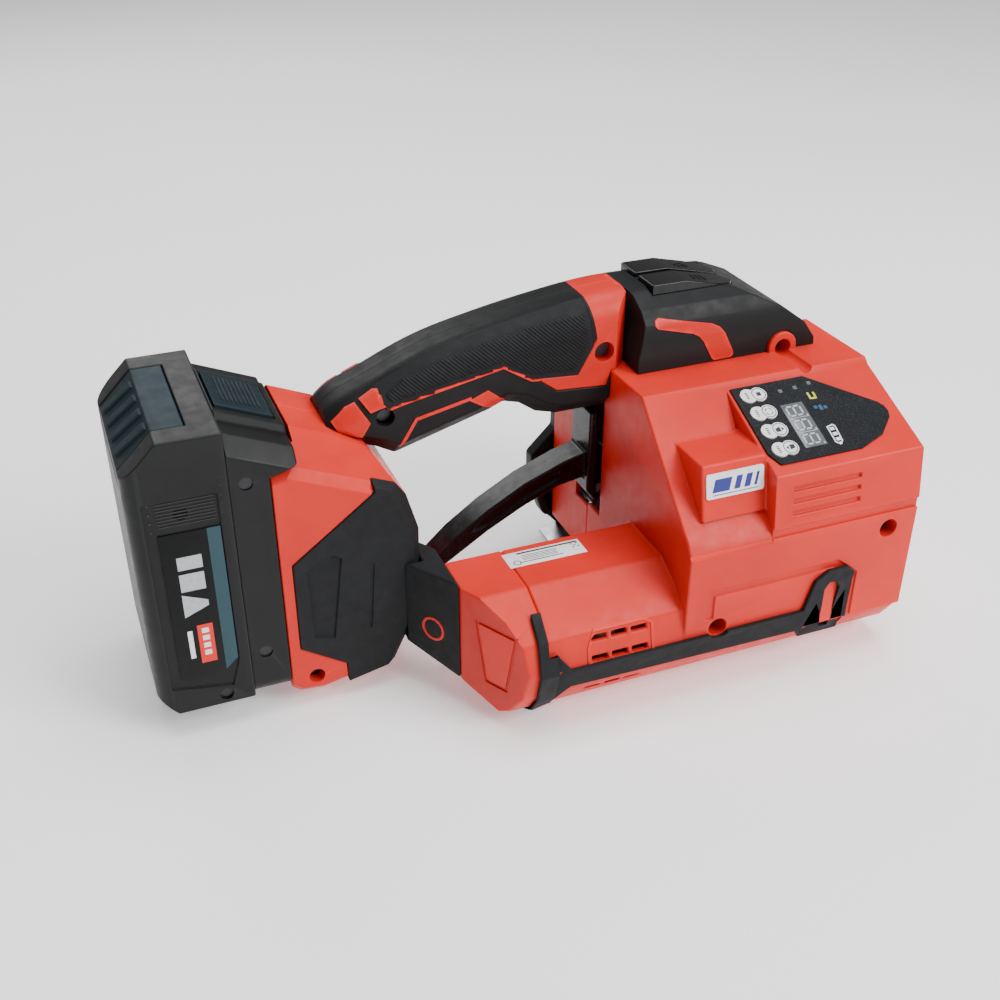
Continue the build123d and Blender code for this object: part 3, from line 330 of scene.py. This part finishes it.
def settle(obj):
    """Apply an object's modifiers to its mesh."""
    graph = bpy.context.evaluated_depsgraph_get()
    mesh = bpy.data.meshes.new_from_object(obj.evaluated_get(graph))
    obj.modifiers.clear()
    old = obj.data
    obj.data = mesh
    bpy.data.meshes.remove(old)


def smooth_by_angle(mesh, angle=SHADING_ANGLE):
    """Shade a mesh smooth, except across edges sharper than the angle."""
    bm = bmesh.new()
    bm.from_mesh(mesh)
    for face in bm.faces:
        face.smooth = True
    for edge in bm.edges:
        edge.smooth = edge.is_manifold and edge.calc_face_angle(0) < radians(angle)
    bm.to_mesh(mesh)
    bm.free()


def room_beside(edge):
    """How far both faces reach from a sharp edge before they meet another edge of their own."""
    room = edge.calc_length() * 3
    along = (edge.verts[1].co - edge.verts[0].co).normalized()
    middle = (edge.verts[0].co + edge.verts[1].co) / 2
    for face in edge.link_faces:
        for other in face.edges:
            if other is edge:
                continue
            shared = set(other.verts) & set(edge.verts)
            direction = (other.verts[1].co - other.verts[0].co).normalized()
            if shared:
                if abs(direction.dot(along)) < CORNER_COS:
                    sine = sqrt(max(0.0, 1 - direction.dot(along) ** 2))
                    room = min(room, other.calc_length() * sine)
                continue
            if abs(direction.dot(along)) > PARALLEL_COS:
                start = other.verts[0].co
                t = max(0.0, min(other.calc_length(), (middle - start).dot(direction)))
                room = min(room, (middle - start - direction * t).length)
    return room


def weigh_edges(bm, width):
    """Give each sharp edge a bevel weight, the same along a chain of edges that run on smoothly."""
    layer = bm.edges.layers.float.new("bevel_weight_edge")
    sharp = {e for e in bm.edges
             if e.is_manifold and abs(e.calc_face_angle(0)) > radians(SHARP_ANGLE)}
    allowed = {e: min(width, ROOM_SHARE * room_beside(e)) for e in sharp}
    seen = set()
    for first in sharp:
        if first in seen:
            continue
        chain, stack = [], [first]
        seen.add(first)
        while stack:
            edge = stack.pop()
            chain.append(edge)
            for vert in edge.verts:
                others = [e for e in vert.link_edges if e in sharp and e is not edge]
                if len(others) != 1 or others[0] in seen:
                    continue
                back = (edge.other_vert(vert).co - vert.co).normalized()
                onward = (others[0].other_vert(vert).co - vert.co).normalized()
                if back.dot(onward) < RUN_ON_COS:
                    seen.add(others[0])
                    stack.append(others[0])
        least = min(allowed[e] for e in chain)
        for edge in chain:
            edge[layer] = least / width


def soften(node_name, width_mm):
    """Make a copy of a CAD node with rounded edges, inside the node's box, to stand for it."""
    source = NODES[node_name]
    mesh = source.data.copy()
    bm = bmesh.new()
    bm.from_mesh(mesh)
    bmesh.ops.remove_doubles(bm, verts=bm.verts, dist=WELD_DISTANCE)
    bmesh.ops.dissolve_limit(bm, angle_limit=radians(FLAT_ANGLE), verts=bm.verts, edges=bm.edges,
                             use_dissolve_boundaries=False)
    weigh_edges(bm, width_mm * MM)
    bm.to_mesh(mesh)
    bm.free()
    slot = NODE_SLOTS[node_name]
    obj = shown(mesh, node_name + "_body", SLOT_MATERIALS[slot], BODY_OF[node_name])
    bevel = obj.modifiers.new("edges", "BEVEL")
    bevel.width = width_mm * MM
    bevel.segments = ROUNDING_SEGMENTS
    bevel.limit_method = "WEIGHT"
    bevel.use_clamp_overlap = False
    bevel.loop_slide = False
    settle(obj)
    smooth_by_angle(obj.data)
    for k in range(3):
        low = min(v.co[k] for v in source.data.vertices)
        high = max(v.co[k] for v in source.data.vertices)
        for vert in obj.data.vertices:
            vert.co[k] = min(high, max(low, vert.co[k]))
    weighted = obj.modifiers.new("normals", "WEIGHTED_NORMAL")
    weighted.keep_sharp = True
    settle(obj)
    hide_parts(node_name)


# ------------------------------------------------------------------ pieces drawn on surfaces
RAY_START = 120         # mm from the middle plane, beyond either side of the tool
FIRST_REACH = 15.0      # mm: used until the first ray meets the target
COLUMNS_PER_RIB = 5
RIB_FLANK = 6           # how steeply a rib rises to its crest
SKIN_SHADING_ANGLE = 50


class Face:
    """A flat drawing plane on the tool: origin, two directions in the plane and the way out."""

    def __init__(self, origin, right, up):
        self.origin = Vector(origin)
        self.right = Vector(right).normalized()
        self.up = Vector(up).normalized()
        self.out = self.right.cross(self.up)

    def at(self, x, y, height=0.0):
        return (self.origin + self.right * x + self.up * y + self.out * height) * MM


def prism(bm, outline, low, high, place):
    """Add a closed prism over an outline; place(x, y, height) gives a point in metres."""
    bottom = [bm.verts.new(place(x, y, low)) for x, y in outline]
    top = [bm.verts.new(place(x, y, high)) for x, y in outline]
    bm.faces.new(list(reversed(bottom)))
    bm.faces.new(top)
    for i in range(len(outline)):
        j = (i + 1) % len(outline)
        bm.faces.new((bottom[i], bottom[j], top[j], top[i]))


def finish_bmesh(bm, name, material, body, bevel_mm=0.0, angle=SHADING_ANGLE):
    """Turn a bmesh into a piece of the scene, with a small bevel if asked."""
    bmesh.ops.recalc_face_normals(bm, faces=bm.faces)
    mesh = bpy.data.meshes.new(name)
    bm.to_mesh(mesh)
    bm.free()
    obj = shown(mesh, name, material, body)
    if bevel_mm:
        bevel = obj.modifiers.new("edges", "BEVEL")
        bevel.width = bevel_mm * MM
        bevel.segments = 2
        bevel.limit_method = "ANGLE"
        bevel.angle_limit = radians(DRAWN_BEVEL_ANGLE)
        settle(obj)
    smooth_by_angle(obj.data, angle)
    return obj


def circle_points(x, y, radius, count, start=0.0, stop=360.0):
    """Points on a whole circle, or on an arc with both of its ends; angles in degrees."""
    closed = stop - start >= 360
    steps = count if closed else count - 1
    return [(x + radius * cos(radians(start + (stop - start) * i / steps)),
             y + radius * sin(radians(start + (stop - start) * i / steps))) for i in range(count)]


def bar(x, y, width, height):
    """A rectangle around (x, y)."""
    return [(x - width / 2, y - height / 2), (x + width / 2, y - height / 2),
            (x + width / 2, y + height / 2), (x - width / 2, y + height / 2)]


def arc_band(x, y, outer, inner_radius, start, stop, count=12):
    """A stretch of a flat ring."""
    outside = circle_points(x, y, outer, count, start, stop)
    inside = circle_points(x, y, inner_radius, count, start, stop)
    return outside + inside[::-1]


def ring_bands(x, y, outer, inner_radius):
    """A ring as two half bands, so that each outline is simple."""
    return [arc_band(x, y, outer, inner_radius, start, start + 180.0, 18) for start in (0.0, 180.0)]


def ribbon(points, width, closed=False):
    """A flat line of even width along a polyline with mitred corners: one quad for each segment."""
    count = len(points)
    rails = []
    for i, point in enumerate(points):
        here = Vector(point)
        directions = []
        if i or closed:
            directions.append((here - Vector(points[i - 1])).normalized())
        if i + 1 < count or closed:
            directions.append((Vector(points[(i + 1) % count]) - here).normalized())
        normals = [Vector((-d.y, d.x)) for d in directions]
        normal = sum(normals, Vector((0, 0))).normalized()
        reach = width / 2 / max(0.35, normal.dot(normals[0]))
        rails.append((tuple(here + normal * reach), tuple(here - normal * reach)))
    pairs = list(zip(rails, rails[1:])) + ([(rails[-1], rails[0])] if closed else [])
    return [[start[0], start[1], end[1], end[0]] for start, end in pairs]


def drawing(name, outlines, face, material, body, low=-0.05, high=0.08, bevel_mm=0.0):
    """Flat shapes with a little thickness, as one piece on a drawing plane."""
    bm = bmesh.new()
    for outline in outlines:
        prism(bm, outline, low, high, face.at)
    return finish_bmesh(bm, name, material, body, bevel_mm)


def surface_reach(tree, x, z, side, spread_mm=0.0):
    """How far out along Y the target's surface lies at (x, z), or None beside the target."""
    found = []
    for dx, dz in ((0, 0), (spread_mm, 0), (-spread_mm, 0), (0, spread_mm), (0, -spread_mm)):
        start = Vector((x + dx, side * RAY_START, z + dz)) * MM
        hit = tree.ray_cast(start, Vector((0, -side, 0)))[0]
        if hit is not None:
            found.append(abs(hit.y) / MM)
        if found and not spread_mm:
            break
    return max(found) if found else None


def skin(name, outlines, target, side, material, body, lift=0.25, depth=1.0, grid_mm=1.5,
         angle=0.0, ribs=None, spread_mm=0.0):
    """A sheet over X-Z outlines, laid on a target's surface seen along Y from one side (-1 or 1).

    ribs is (pitch, crest width, height): straight ribs that run across the grid's first direction.
    spread_mm takes the outermost surface within that distance, so that a step stays covered.
    """
    tree = target_tree(target)
    bm = bmesh.new()
    for outline in outlines:
        corners = [bm.verts.new((x, 0, z)) for x, z in outline]
        for triangle in tessellate_polygon([[Vector((x, z, 0)) for x, z in outline]]):
            bm.faces.new([corners[k] for k in triangle])
    bmesh.ops.remove_doubles(bm, verts=bm.verts, dist=1e-4)
    across = Vector((cos(radians(angle)), 0, sin(radians(angle))))
    along = Vector((-across.z, 0, across.x))
    first_step = ribs[0] / COLUMNS_PER_RIB if ribs else grid_mm
    for direction, step in ((across, first_step), (along, grid_mm)):
        reach = [v.co.dot(direction) for v in bm.verts]
        first = int(min(reach) // step) + 1
        for k in range(first, int(max(reach) // step) + 1):
            bmesh.ops.bisect_plane(bm, geom=bm.verts[:] + bm.edges[:] + bm.faces[:], dist=1e-5,
                                   plane_co=direction * (step * k), plane_no=direction)
    bmesh.ops.remove_doubles(bm, verts=bm.verts, dist=1e-3)
    rim = {v for e in bm.edges if e.is_boundary for v in e.verts}
    last = FIRST_REACH
    for vert in sorted(bm.verts, key=lambda v: (v.co.x, v.co.z)):
        x, _, z = vert.co
        reach = surface_reach(tree, x, z, side, spread_mm)
        last = last if reach is None else reach
        height = lift
        if ribs and vert not in rim:
            pitch, crest, rib_height = ribs
            phase = (vert.co.dot(across) / pitch) % 1.0
            rise = (0.5 * crest / pitch - abs(phase - 0.5)) * RIB_FLANK + 1
            height += rib_height * max(0.0, min(1.0, rise))
        vert.co = Vector((x, side * (last + height), z)) * MM
    under = bmesh.ops.duplicate(bm, geom=bm.verts[:] + bm.edges[:] + bm.faces[:])
    pairs = under["vert_map"]
    new_verts = {g for g in under["geom"] if isinstance(g, bmesh.types.BMVert)}
    for vert in new_verts:
        vert.co.y -= side * depth * MM
    for edge in [e for e in bm.edges if e.is_boundary and e.verts[0] not in new_verts]:
        first, second = edge.verts
        bm.faces.new((first, second, pairs[second], pairs[first]))
    return finish_bmesh(bm, name, material, body, angle=SKIN_SHADING_ANGLE)


TREES = {}


def target_tree(obj):
    """A search tree of an object's mesh, built once."""
    if obj.name not in TREES:
        bm = bmesh.new()
        bm.from_mesh(obj.data)
        TREES[obj.name] = BVHTree.FromBMesh(bm)
        bm.free()
    return TREES[obj.name]


# CAD nodes that a softened copy replaces, and how wide its edges are rounded in mm
for node_name, width in (
        ("head_near_shell", 0.9), ("head_far_shell", 0.9), ("barrel_cap", 1.0), ("arm_cover", 1.0),
        ("rubber_bumper", 0.5), ("top_cover", 0.5), ("side_cover", 1.0), ("lever", 1.2),
        ("receiver_near_shell", 0.7), ("receiver_far_shell", 0.7), ("receiver_pad_near", 0.5),
        ("receiver_pad_far", 0.5), ("handle_near_shell", 0.8), ("handle_far_shell", 0.8),
        ("handle_collar_near", 0.7), ("handle_collar_far", 0.7), ("battery_lower_shell", 0.8),
        ("battery_upper_shell", 0.8), ("battery_end_panel", 0.5), ("tension_button", 0.5),
        ("weld_button", 0.5), ("battery_release_button", 0.3)):
    soften(node_name, width)

# ------------------------------------------------------------------ springs, copied in steel
# node, joint that presses it, height of its fixed end in mm, and the share of its free length
# that is left at the joint's limit: a little less than the room there, so it stays clear
for node_name, joint, fixed_z, keep in (
        ("battery_latch_spring", "release_press", 107.5, 0.67),
        ("tension_button_spring", "tension_press", 127.2, 0.63),
        ("weld_button_spring", "weld_press", 127.2, 0.63),
        ("rocker_spring", "rocker_lift", 53.9, 0.83)):
    coil = shown(NODES[node_name].data.copy(), node_name + "_coil", M_STEEL, BODY_OF[node_name])
    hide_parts(node_name)
    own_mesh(coil)

# name of each half, and which way along Y it faces
BOTH_SIDES = (("near", -1), ("far", 1))

# ------------------------------------------------------------------ handle: grip ribs and red trim
RIB_ANGLE = 48
GRIP_RIBS = [(-147.5, 116.4), (-143.6, 117.2), (-102.0, 125.6), (-89.4, 118.1), (-71.6, 116.9),
             (-66.0, 126.4), (-67.6, 139.2), (-76, 139.4), (-93, 136.8), (-110, 133.5),
             (-127.5, 129.3), (-142.5, 124.0), (-149.2, 119.4)]
GRIP_LINE = [(-149.6, 114.0), (-144.0, 115.4), (-102.0, 123.7), (-90.0, 116.1), (-86.6, 115.8)]
ACCENT_LINE = [(-145.2, 96.6), (-138.2, 107.6), (-115.5, 112.4)]
ACCENT_BLOCK = [(-116.4, 111.6), (-108.6, 114.7), (-100.2, 107.9), (-105.6, 104.8)]
NECK_BLOCKS = (
    [(-171.0, 110.8), (-165.2, 115.6), (-161.2, 117.2), (-156.6, 109.4), (-160.2, 103.8),
     (-168.5, 106.4)],
    [(-159.4, 118.2), (-153.6, 121.0), (-150.6, 121.2), (-146.8, 115.6), (-152.2, 114.6),
     (-156.2, 113.4)],
)
for end, side in BOTH_SIDES:
    body = BODY_OF[f"handle_{end}_shell"]
    shell = bpy.data.objects[f"handle_{end}_shell_body"]
    skin(f"grip_ribs_{end}", [GRIP_RIBS], NODES[f"grip_insert_{end}"], side, M_SOFT, body,
         lift=0.1, depth=0.8, grid_mm=2.0, angle=RIB_ANGLE, ribs=(1.2, 0.6, 0.4),
         spread_mm=0.3)
    skin(f"grip_line_{end}", ribbon(GRIP_LINE, 1.7), shell, side, M_RED, body,
         lift=0.45, depth=1.6, spread_mm=0.7)
    skin(f"accent_line_{end}", ribbon(ACCENT_LINE, 1.3), shell, side, M_RED, body,
         lift=0.3, depth=0.8)
    skin(f"accent_block_{end}", [ACCENT_BLOCK], shell, side, M_RED, body,
         lift=0.4, depth=0.9)
    for k, outline in enumerate(NECK_BLOCKS):
        skin(f"neck_block_{end}_{k}", [outline], shell, side, M_RED, body, lift=0.4,
             depth=1.2, grid_mm=1.0, spread_mm=0.5)

# ------------------------------------------------------------------ top cover: swoosh and symbols
SWOOSH = [(-39.8, 135.2), (-40.0, 133.2), (-38.8, 132.0), (-23.2, 128.0), (-20.2, 126.3),
          (-18.0, 123.6), (-13.6, 115.6), (-12.4, 114.7), (-4.6, 115.0), (-3.6, 116.0),
          (-3.9, 117.6), (-8.6, 126.6), (-10.8, 129.0), (-14.2, 130.8), (-38.2, 136.0)]
for end, side in BOTH_SIDES:
    skin(f"cover_swoosh_{end}", [SWOOSH], bpy.data.objects["top_cover_body"], side, M_RED,
         BODY_OF["top_cover"], lift=0.3, depth=0.8, grid_mm=2.0)

for button, y, shapes in (
        ("tension_button", -8.0, [bar(0, 2.2, 6, 0.9), bar(-2.6, -0.2, 0.9, 4.0),
                                  bar(2.6, -0.2, 0.9, 4.0), bar(0, -0.6, 1.0, 3.0)]),
        ("weld_button", 8.0, [*ribbon([(-3.5, -1.6), (0, 1.6), (3.5, -1.6)], 0.9),
                              *ribbon([(-1.9, -2.6), (0, -0.9), (1.9, -2.6)], 0.9)])):
    # on the part of the button's top that slopes down to the front
    slope = Face((-13, y, 144.52), (26, 0, -6), (0, 1, 0))
    drawing(button + "_symbol", shapes, slope, M_BLACK, BODY_OF[button],
            low=-0.4, high=0.3, bevel_mm=0.08)

# ------------------------------------------------------------------ display panel
TILT = radians(23.77)    # the panel's slope
PANEL = Face((14.5, -66, 102.75), (1, 0, 0), (0, cos(TILT), sin(TILT)))
FILM_TOP = 0.8           # mm over the panel
KEY_TOP = 1.25
KEY_ROWS = [16.2 - 9.2 * row for row in range(4)]
KEYS = ["mode_key", "set_key", "plus_key", "minus_key"]
KEY_RIGHT = -21.7
KEY_LEFT = -26.3
KEY_SYMBOLS = (
    [bar(KEY_RIGHT, 0, 1.9, 1.9)],
    [arc_band(KEY_RIGHT, 0, 1.75, 1.35, 90 * k + 12, 90 * k + 78) for k in range(4)],
    [[(KEY_RIGHT - 1.9, -1.2), (KEY_RIGHT + 0.3, -1.2), (KEY_RIGHT + 0.3, 1.2),
      (KEY_RIGHT - 1.9, 0.5)],
     [(KEY_RIGHT + 0.8, -0.9), (KEY_RIGHT + 2.0, 0), (KEY_RIGHT + 0.8, 0.9)]],
    [[(KEY_RIGHT - 0.3, -1.2), (KEY_RIGHT + 1.9, -0.5), (KEY_RIGHT + 1.9, 1.2),
      (KEY_RIGHT - 0.3, 1.2)],
     [(KEY_RIGHT - 0.8, -0.9), (KEY_RIGHT - 0.8, 0.9), (KEY_RIGHT - 2.0, 0)]],
)
for key, row, symbol in zip(KEYS, KEY_ROWS, KEY_SYMBOLS):
    shapes = ring_bands(KEY_RIGHT, row, 3.0, 2.65)
    shapes += [[(x, y + row) for x, y in outline] for outline in symbol]
    shapes += [bar(KEY_LEFT - 0.6, row + step, 1.1, 0.5) for step in (-1.35, -0.45, 0.45, 1.35)]
    drawing(key + "_print", shapes, PANEL, M_INK, BODY_OF[key], low=KEY_TOP - 0.1,
            high=KEY_TOP + 0.03)


def segment_digit(x, y, length, width, stroke=0.75):
    """Seven bars of one digit that lies on its side: it is long in X and narrow in Y."""
    half_length, half_width = length / 2, width / 2
    quarter = half_length / 2
    return [bar(x - half_length, y, stroke, width - 1.1), bar(x, y, stroke, width - 1.1),
            bar(x + half_length, y, stroke, width - 1.1),
            bar(x - quarter, y - half_width, half_length - 0.9, stroke),
            bar(x + quarter, y - half_width, half_length - 0.9, stroke),
            bar(x - quarter, y + half_width, half_length - 0.9, stroke),
            bar(x + quarter, y + half_width, half_length - 0.9, stroke)]


film_body = BODY_OF["display_overlay"]
drawing("digit_window", [bar(-10.5, -2.0, 10.0, 22.0)], PANEL, M_WINDOW, film_body,
        low=FILM_TOP - 0.2, high=FILM_TOP + 0.04, bevel_mm=0.02)
digits = []
for digit_y in (5.2, -2.0, -9.2):
    digits += segment_digit(-10.8, digit_y, 6.2, 4.6)
    digits.append(circle_points(-6.4, digit_y - 2.9, 0.4, 12))
digits += [bar(-10.5, 1.7, 9.2, 0.25), bar(-10.5, -5.6, 9.2, 0.25)]
drawing("digit_segments", digits, PANEL, M_SEGMENT, film_body, low=FILM_TOP,
        high=FILM_TOP + 0.08)
# small marks in the film, each a few bars: name, bars and ink
for mark, bars, ink in (
        ("mode_lamps", [(-11.7, 15.9, 1.7, 1.7), (-4.7, 16.3, 1.7, 1.7), (2.3, 17.3, 1.7, 1.7)],
         M_LAMP),
        ("speed_mark", [(-0.9, 11.0, 0.9, 3.4), (0.6, 9.6, 2.6, 0.9), (1.6, 11.4, 0.9, 2.2)],
         M_YELLOW),
        ("load_mark", [(-1.2, 5.0, 1.5, 1.5), (0.9, 4.4, 1.5, 2.6), (3.0, 4.2, 1.5, 1.5)],
         M_BLUE)):
    drawing(mark, [bar(*b) for b in bars], PANEL, ink, film_body,
            low=FILM_TOP - 0.1, high=FILM_TOP + 0.05)
GAUGE = Face(PANEL.at(0.0, -9.2) / MM, PANEL.right, PANEL.up)
gauge_frame = [(-1.6, 3.9), (1.2, 4.5), (1.9, 3.7), (1.3, -3.6), (0.6, -4.4), (-1.2, -4.4),
               (-1.8, -3.6)]
gauge_lines = ribbon(gauge_frame, 0.55, closed=True)
gauge_lines += [bar(-0.2, -4.9, 1.2, 0.8)]
gauge_lines += [bar(0, y, 1.9, 1.5) for y in (2.6, 0.0, -2.6)]
drawing("charge_gauge", gauge_lines, GAUGE, M_LABEL, film_body, low=FILM_TOP - 0.1,
        high=FILM_TOP + 0.05)

# ------------------------------------------------------------------ name plate and rating label
PLATE = Face((-33, -80.2, 91.2), (1, 0, 0), (0, 0.1961, 0.9806))
# slanted bars over a thin line, in place of a name
plate_shapes = [[(x - 1.9, -2.6), (x + width - 1.9, -2.6), (x + width - 0.5, 2.6), (x - 0.5, 2.6)]
                for x, width in ((-8.2, 7.4), (1.2, 2.6), (5.6, 2.6), (10.0, 1.2))]
plate_shapes += [bar(0, -3.7, 20, 0.35)]
drawing("plate_design", plate_shapes, PLATE, M_PRINT_BLUE, BODY_OF["name_plate"],
        low=0.5, high=0.63)

RATING = Face((-97.5, -49.5, 55.5), (1, 0, 0), (0, 1, 0))
barrel_body = BODY_OF["head_near_shell"]
drawing("rating_label", [bar(0, 0, 33, 10)], RATING, M_LABEL, barrel_body,
        low=-0.1, high=0.1, bevel_mm=0.03)
# plain lines, a ring and a few dots, in place of the print
rating_lines = [bar(2.5, 3.6, 26, 0.9), bar(-2, 1.7, 15, 0.35), bar(-2, 0.7, 15, 0.35),
                bar(-2, -0.3, 15, 0.35), bar(-2, -1.3, 15, 0.35), bar(-2, -2.6, 18, 0.5)]
rating_lines += ring_bands(-12.6, -2.4, 1.6, 1.2)
rating_lines += [bar(12.6 + 1.1 * k, 0.2 + 1.1 * j, 0.7, 0.7)
                 for k in range(3) for j in range(3) if (k + j) % 2 == 0]
drawing("rating_print", rating_lines, RATING, M_INK, barrel_body, low=0.05,
        high=0.13)

# ------------------------------------------------------------------ battery label and fine lines
CASE = Face((0, -38.0, 0), (1, 0, 0), (0, 0, 1))
case_body = BODY_OF["battery_lower_shell"]
LABEL_SHAPE = [(-242.0, 90.4), (-242.0, 26.0), (-235.2, 21.4), (-224.8, 26.6), (-219.9, 31.0),
               (-219.9, 90.4)]
STRIPE = [(-224.8, 90.4), (-224.8, 26.6), (-219.9, 31.0), (-219.9, 90.4)]
drawing("battery_label", [LABEL_SHAPE], CASE, M_LABEL_BLACK, case_body, low=-0.9,
        high=-0.25, bevel_mm=0.05)
drawing("battery_stripe", [STRIPE], CASE, M_TEAL, case_body, low=-0.5,
        high=-0.17)
# three light blocks stand for the marking, the longest one at the bottom
drawing("battery_marks", [bar(-232.4, 77.4, 9.0, 5.6), bar(-232.4, 69.0, 9.0, 7.6),
                          [(-237.0, 64.0), (-227.8, 60.0), (-227.8, 57.6), (-237.0, 53.8)]],
        CASE, M_SEGMENT, case_body, low=-0.5, high=-0.19)
drawing("battery_tag", [bar(-230.5, 40.6, 5.8, 17.6)], CASE, M_RED, case_body,
        low=-0.5, high=-0.19)
tag_marks = [bar(-230.5, z, 2.6, 2.2) for z in (46.6, 43.2, 39.8, 36.4)]
tag_marks.append(bar(-236.2, 41.2, 1.8, 12.6))
drawing("battery_tag_marks", tag_marks, CASE, M_LABEL, case_body, low=-0.45,
        high=-0.15)
DOTS_FROM, DOT_PITCH, DOT_RADIUS = 92.4, 3.6, 0.45
fine_lines = [bar(-231.0, 93.6 + 1.35 * k, 21.0, 0.4) for k in range(8)]
fine_lines += [circle_points(-243.9, DOTS_FROM + DOT_PITCH * k, DOT_RADIUS, 12) for k in range(4)]
drawing("battery_lines", fine_lines, CASE, M_CASE_DARK, case_body, low=-0.95,
        high=-0.6)
side_dots = [circle_points(-218.2, DOTS_FROM + DOT_PITCH * k, DOT_RADIUS, 12) for k in range(6)]
drawing("battery_dots", side_dots, CASE, M_GLOSS, case_body, low=-0.3, high=0.05)

# ------------------------------------------------------------------ vent frames on the motor barrel
near_shell = bpy.data.objects["head_near_shell_body"]
VENT_FRAME = [(-68.6, 29.4), (-70.0, 27.4), (-93.4, 27.4), (-95.8, 29.8), (-95.8, 35.6),
              (-93.0, 42.6), (-72.0, 42.6), (-68.6, 40.4)]
skin("vent_frame", ribbon(VENT_FRAME, 1.0, closed=True), near_shell, -1, M_RED, barrel_body,
     lift=0.4, depth=0.8)

# ------------------------------------------------------------------ bumper and arm
BUMPER_PROUD = 1.9      # mm over the barrel
FLARE_FROM_X, FLARE_TO_Z, FLARE_BEYOND_Y = -109.5, 45, -80
BARREL_END_X = -108.9


def lay_bumper_on_barrel():
    """Make the bumper's flared end follow the barrel's round section."""
    bumper = bpy.data.objects["rubber_bumper_body"]
    tree = target_tree(NODES["head_near_shell"])
    proud = BUMPER_PROUD * MM
    for vert in bumper.data.vertices:
        x, y, z = (c / MM for c in vert.co)
        if x > FLARE_FROM_X and z < FLARE_TO_Z and y < FLARE_BEYOND_Y:
            reach = surface_reach(tree, max(x, BARREL_END_X), z, -1)
            if reach is not None:
                vert.co.y = max(vert.co.y, -reach * MM - proud)


lay_bumper_on_barrel()
ARM = Face((-144.6, -48.7, 31), (0.56, -0.83, 0), (0, 0, 1))
arm_body = BODY_OF["arm_cover"]
drawing("arm_ring", ring_bands(0, 0, 5.4, 4.3), ARM, M_RED, arm_body, low=-0.8,
        high=0.3, bevel_mm=0.1)
drawing("arm_plug", [circle_points(0, 0, 4.35, 36)], ARM, M_RED, arm_body, low=-1.0,
        high=-0.05)

# ------------------------------------------------------------------ stage, light and camera
FLOOR_HALF = 6.0        # metres
FLOOR_DROP = 0.0002     # metres under the tool's lowest point
FLOOR_GLOW = 0.35
WORLD_STRENGTH = 0.20
LIT_POINT = (-0.08, 0, 0.06)
LIGHTS = (              # name, place, size in metres, power in watts
    ("key light", (0.75, -1.0, 0.95), (0.7, 0.7), 24),
    ("top light", (0.1, -0.1, 1.6), (1.3, 1.0), 27),
    ("rim light", (-0.3, 1.2, 0.9), (0.7, 0.7), 6),
)
CAMERA_PLACE = (-0.2653, -0.4230, 0.3267)
CAMERA_BACKWARDS = (-0.3170, -0.7958, 0.5159)
SENSOR_WIDTH = 36       # mm
LENS = 44.46            # mm


def stage_floor():
    mesh = bpy.data.meshes.new("floor")
    size = FLOOR_HALF
    mesh.from_pydata([(-size, -size, 0), (size, -size, 0), (size, size, 0), (-size, size, 0)], [],
                     [(0, 1, 2, 3)])
    floor = bpy.data.objects.new("floor", mesh)
    bpy.context.scene.collection.objects.link(floor)
    floor.location.z = cad_box[0][2] - FLOOR_DROP
    n = Nodes("studio floor")
    tone = n.ramp(n.noise(400, 2), [(0.3, (0.93, 0.93, 0.93)), (0.7, (0.96, 0.96, 0.96))])
    n.link(tone, n.shader.inputs["Base Color"])
    n.shader.inputs["Roughness"].default_value = 0.7
    n.shader.inputs["Emission Color"].default_value = (1, 1, 1, 1)
    n.shader.inputs["Emission Strength"].default_value = FLOOR_GLOW
    mesh.materials.append(n.material)


def area_light(name, place, size, power):
    light = bpy.data.lights.new(name, "AREA")
    light.shape = "RECTANGLE"
    light.size, light.size_y = size
    light.energy = power
    obj = bpy.data.objects.new(name, light)
    obj.location = place
    obj.rotation_euler = (Vector(LIT_POINT) - Vector(place)).to_track_quat("-Z", "Y").to_euler()
    bpy.context.scene.collection.objects.link(obj)


def studio():
    world = bpy.data.worlds.new("studio")
    world.use_nodes = True
    background = world.node_tree.nodes["Background"]
    background.inputs["Color"].default_value = (1, 1, 1, 1)
    background.inputs["Strength"].default_value = WORLD_STRENGTH
    bpy.context.scene.world = world
    for name, place, size, power in LIGHTS:
        area_light(name, place, size, power)


def photo_camera():
    """The operator's side from above, with the head to the right."""
    data = bpy.data.cameras.new("camera")
    data.sensor_width = SENSOR_WIDTH
    data.lens = LENS
    data.dof.use_dof = False
    camera = bpy.data.objects.new("camera", data)
    camera.location = CAMERA_PLACE
    camera.rotation_euler = (-Vector(CAMERA_BACKWARDS)).to_track_quat("-Z", "Y").to_euler()
    bpy.context.scene.collection.objects.link(camera)
    bpy.context.scene.camera = camera


stage_floor()
studio()
photo_camera()
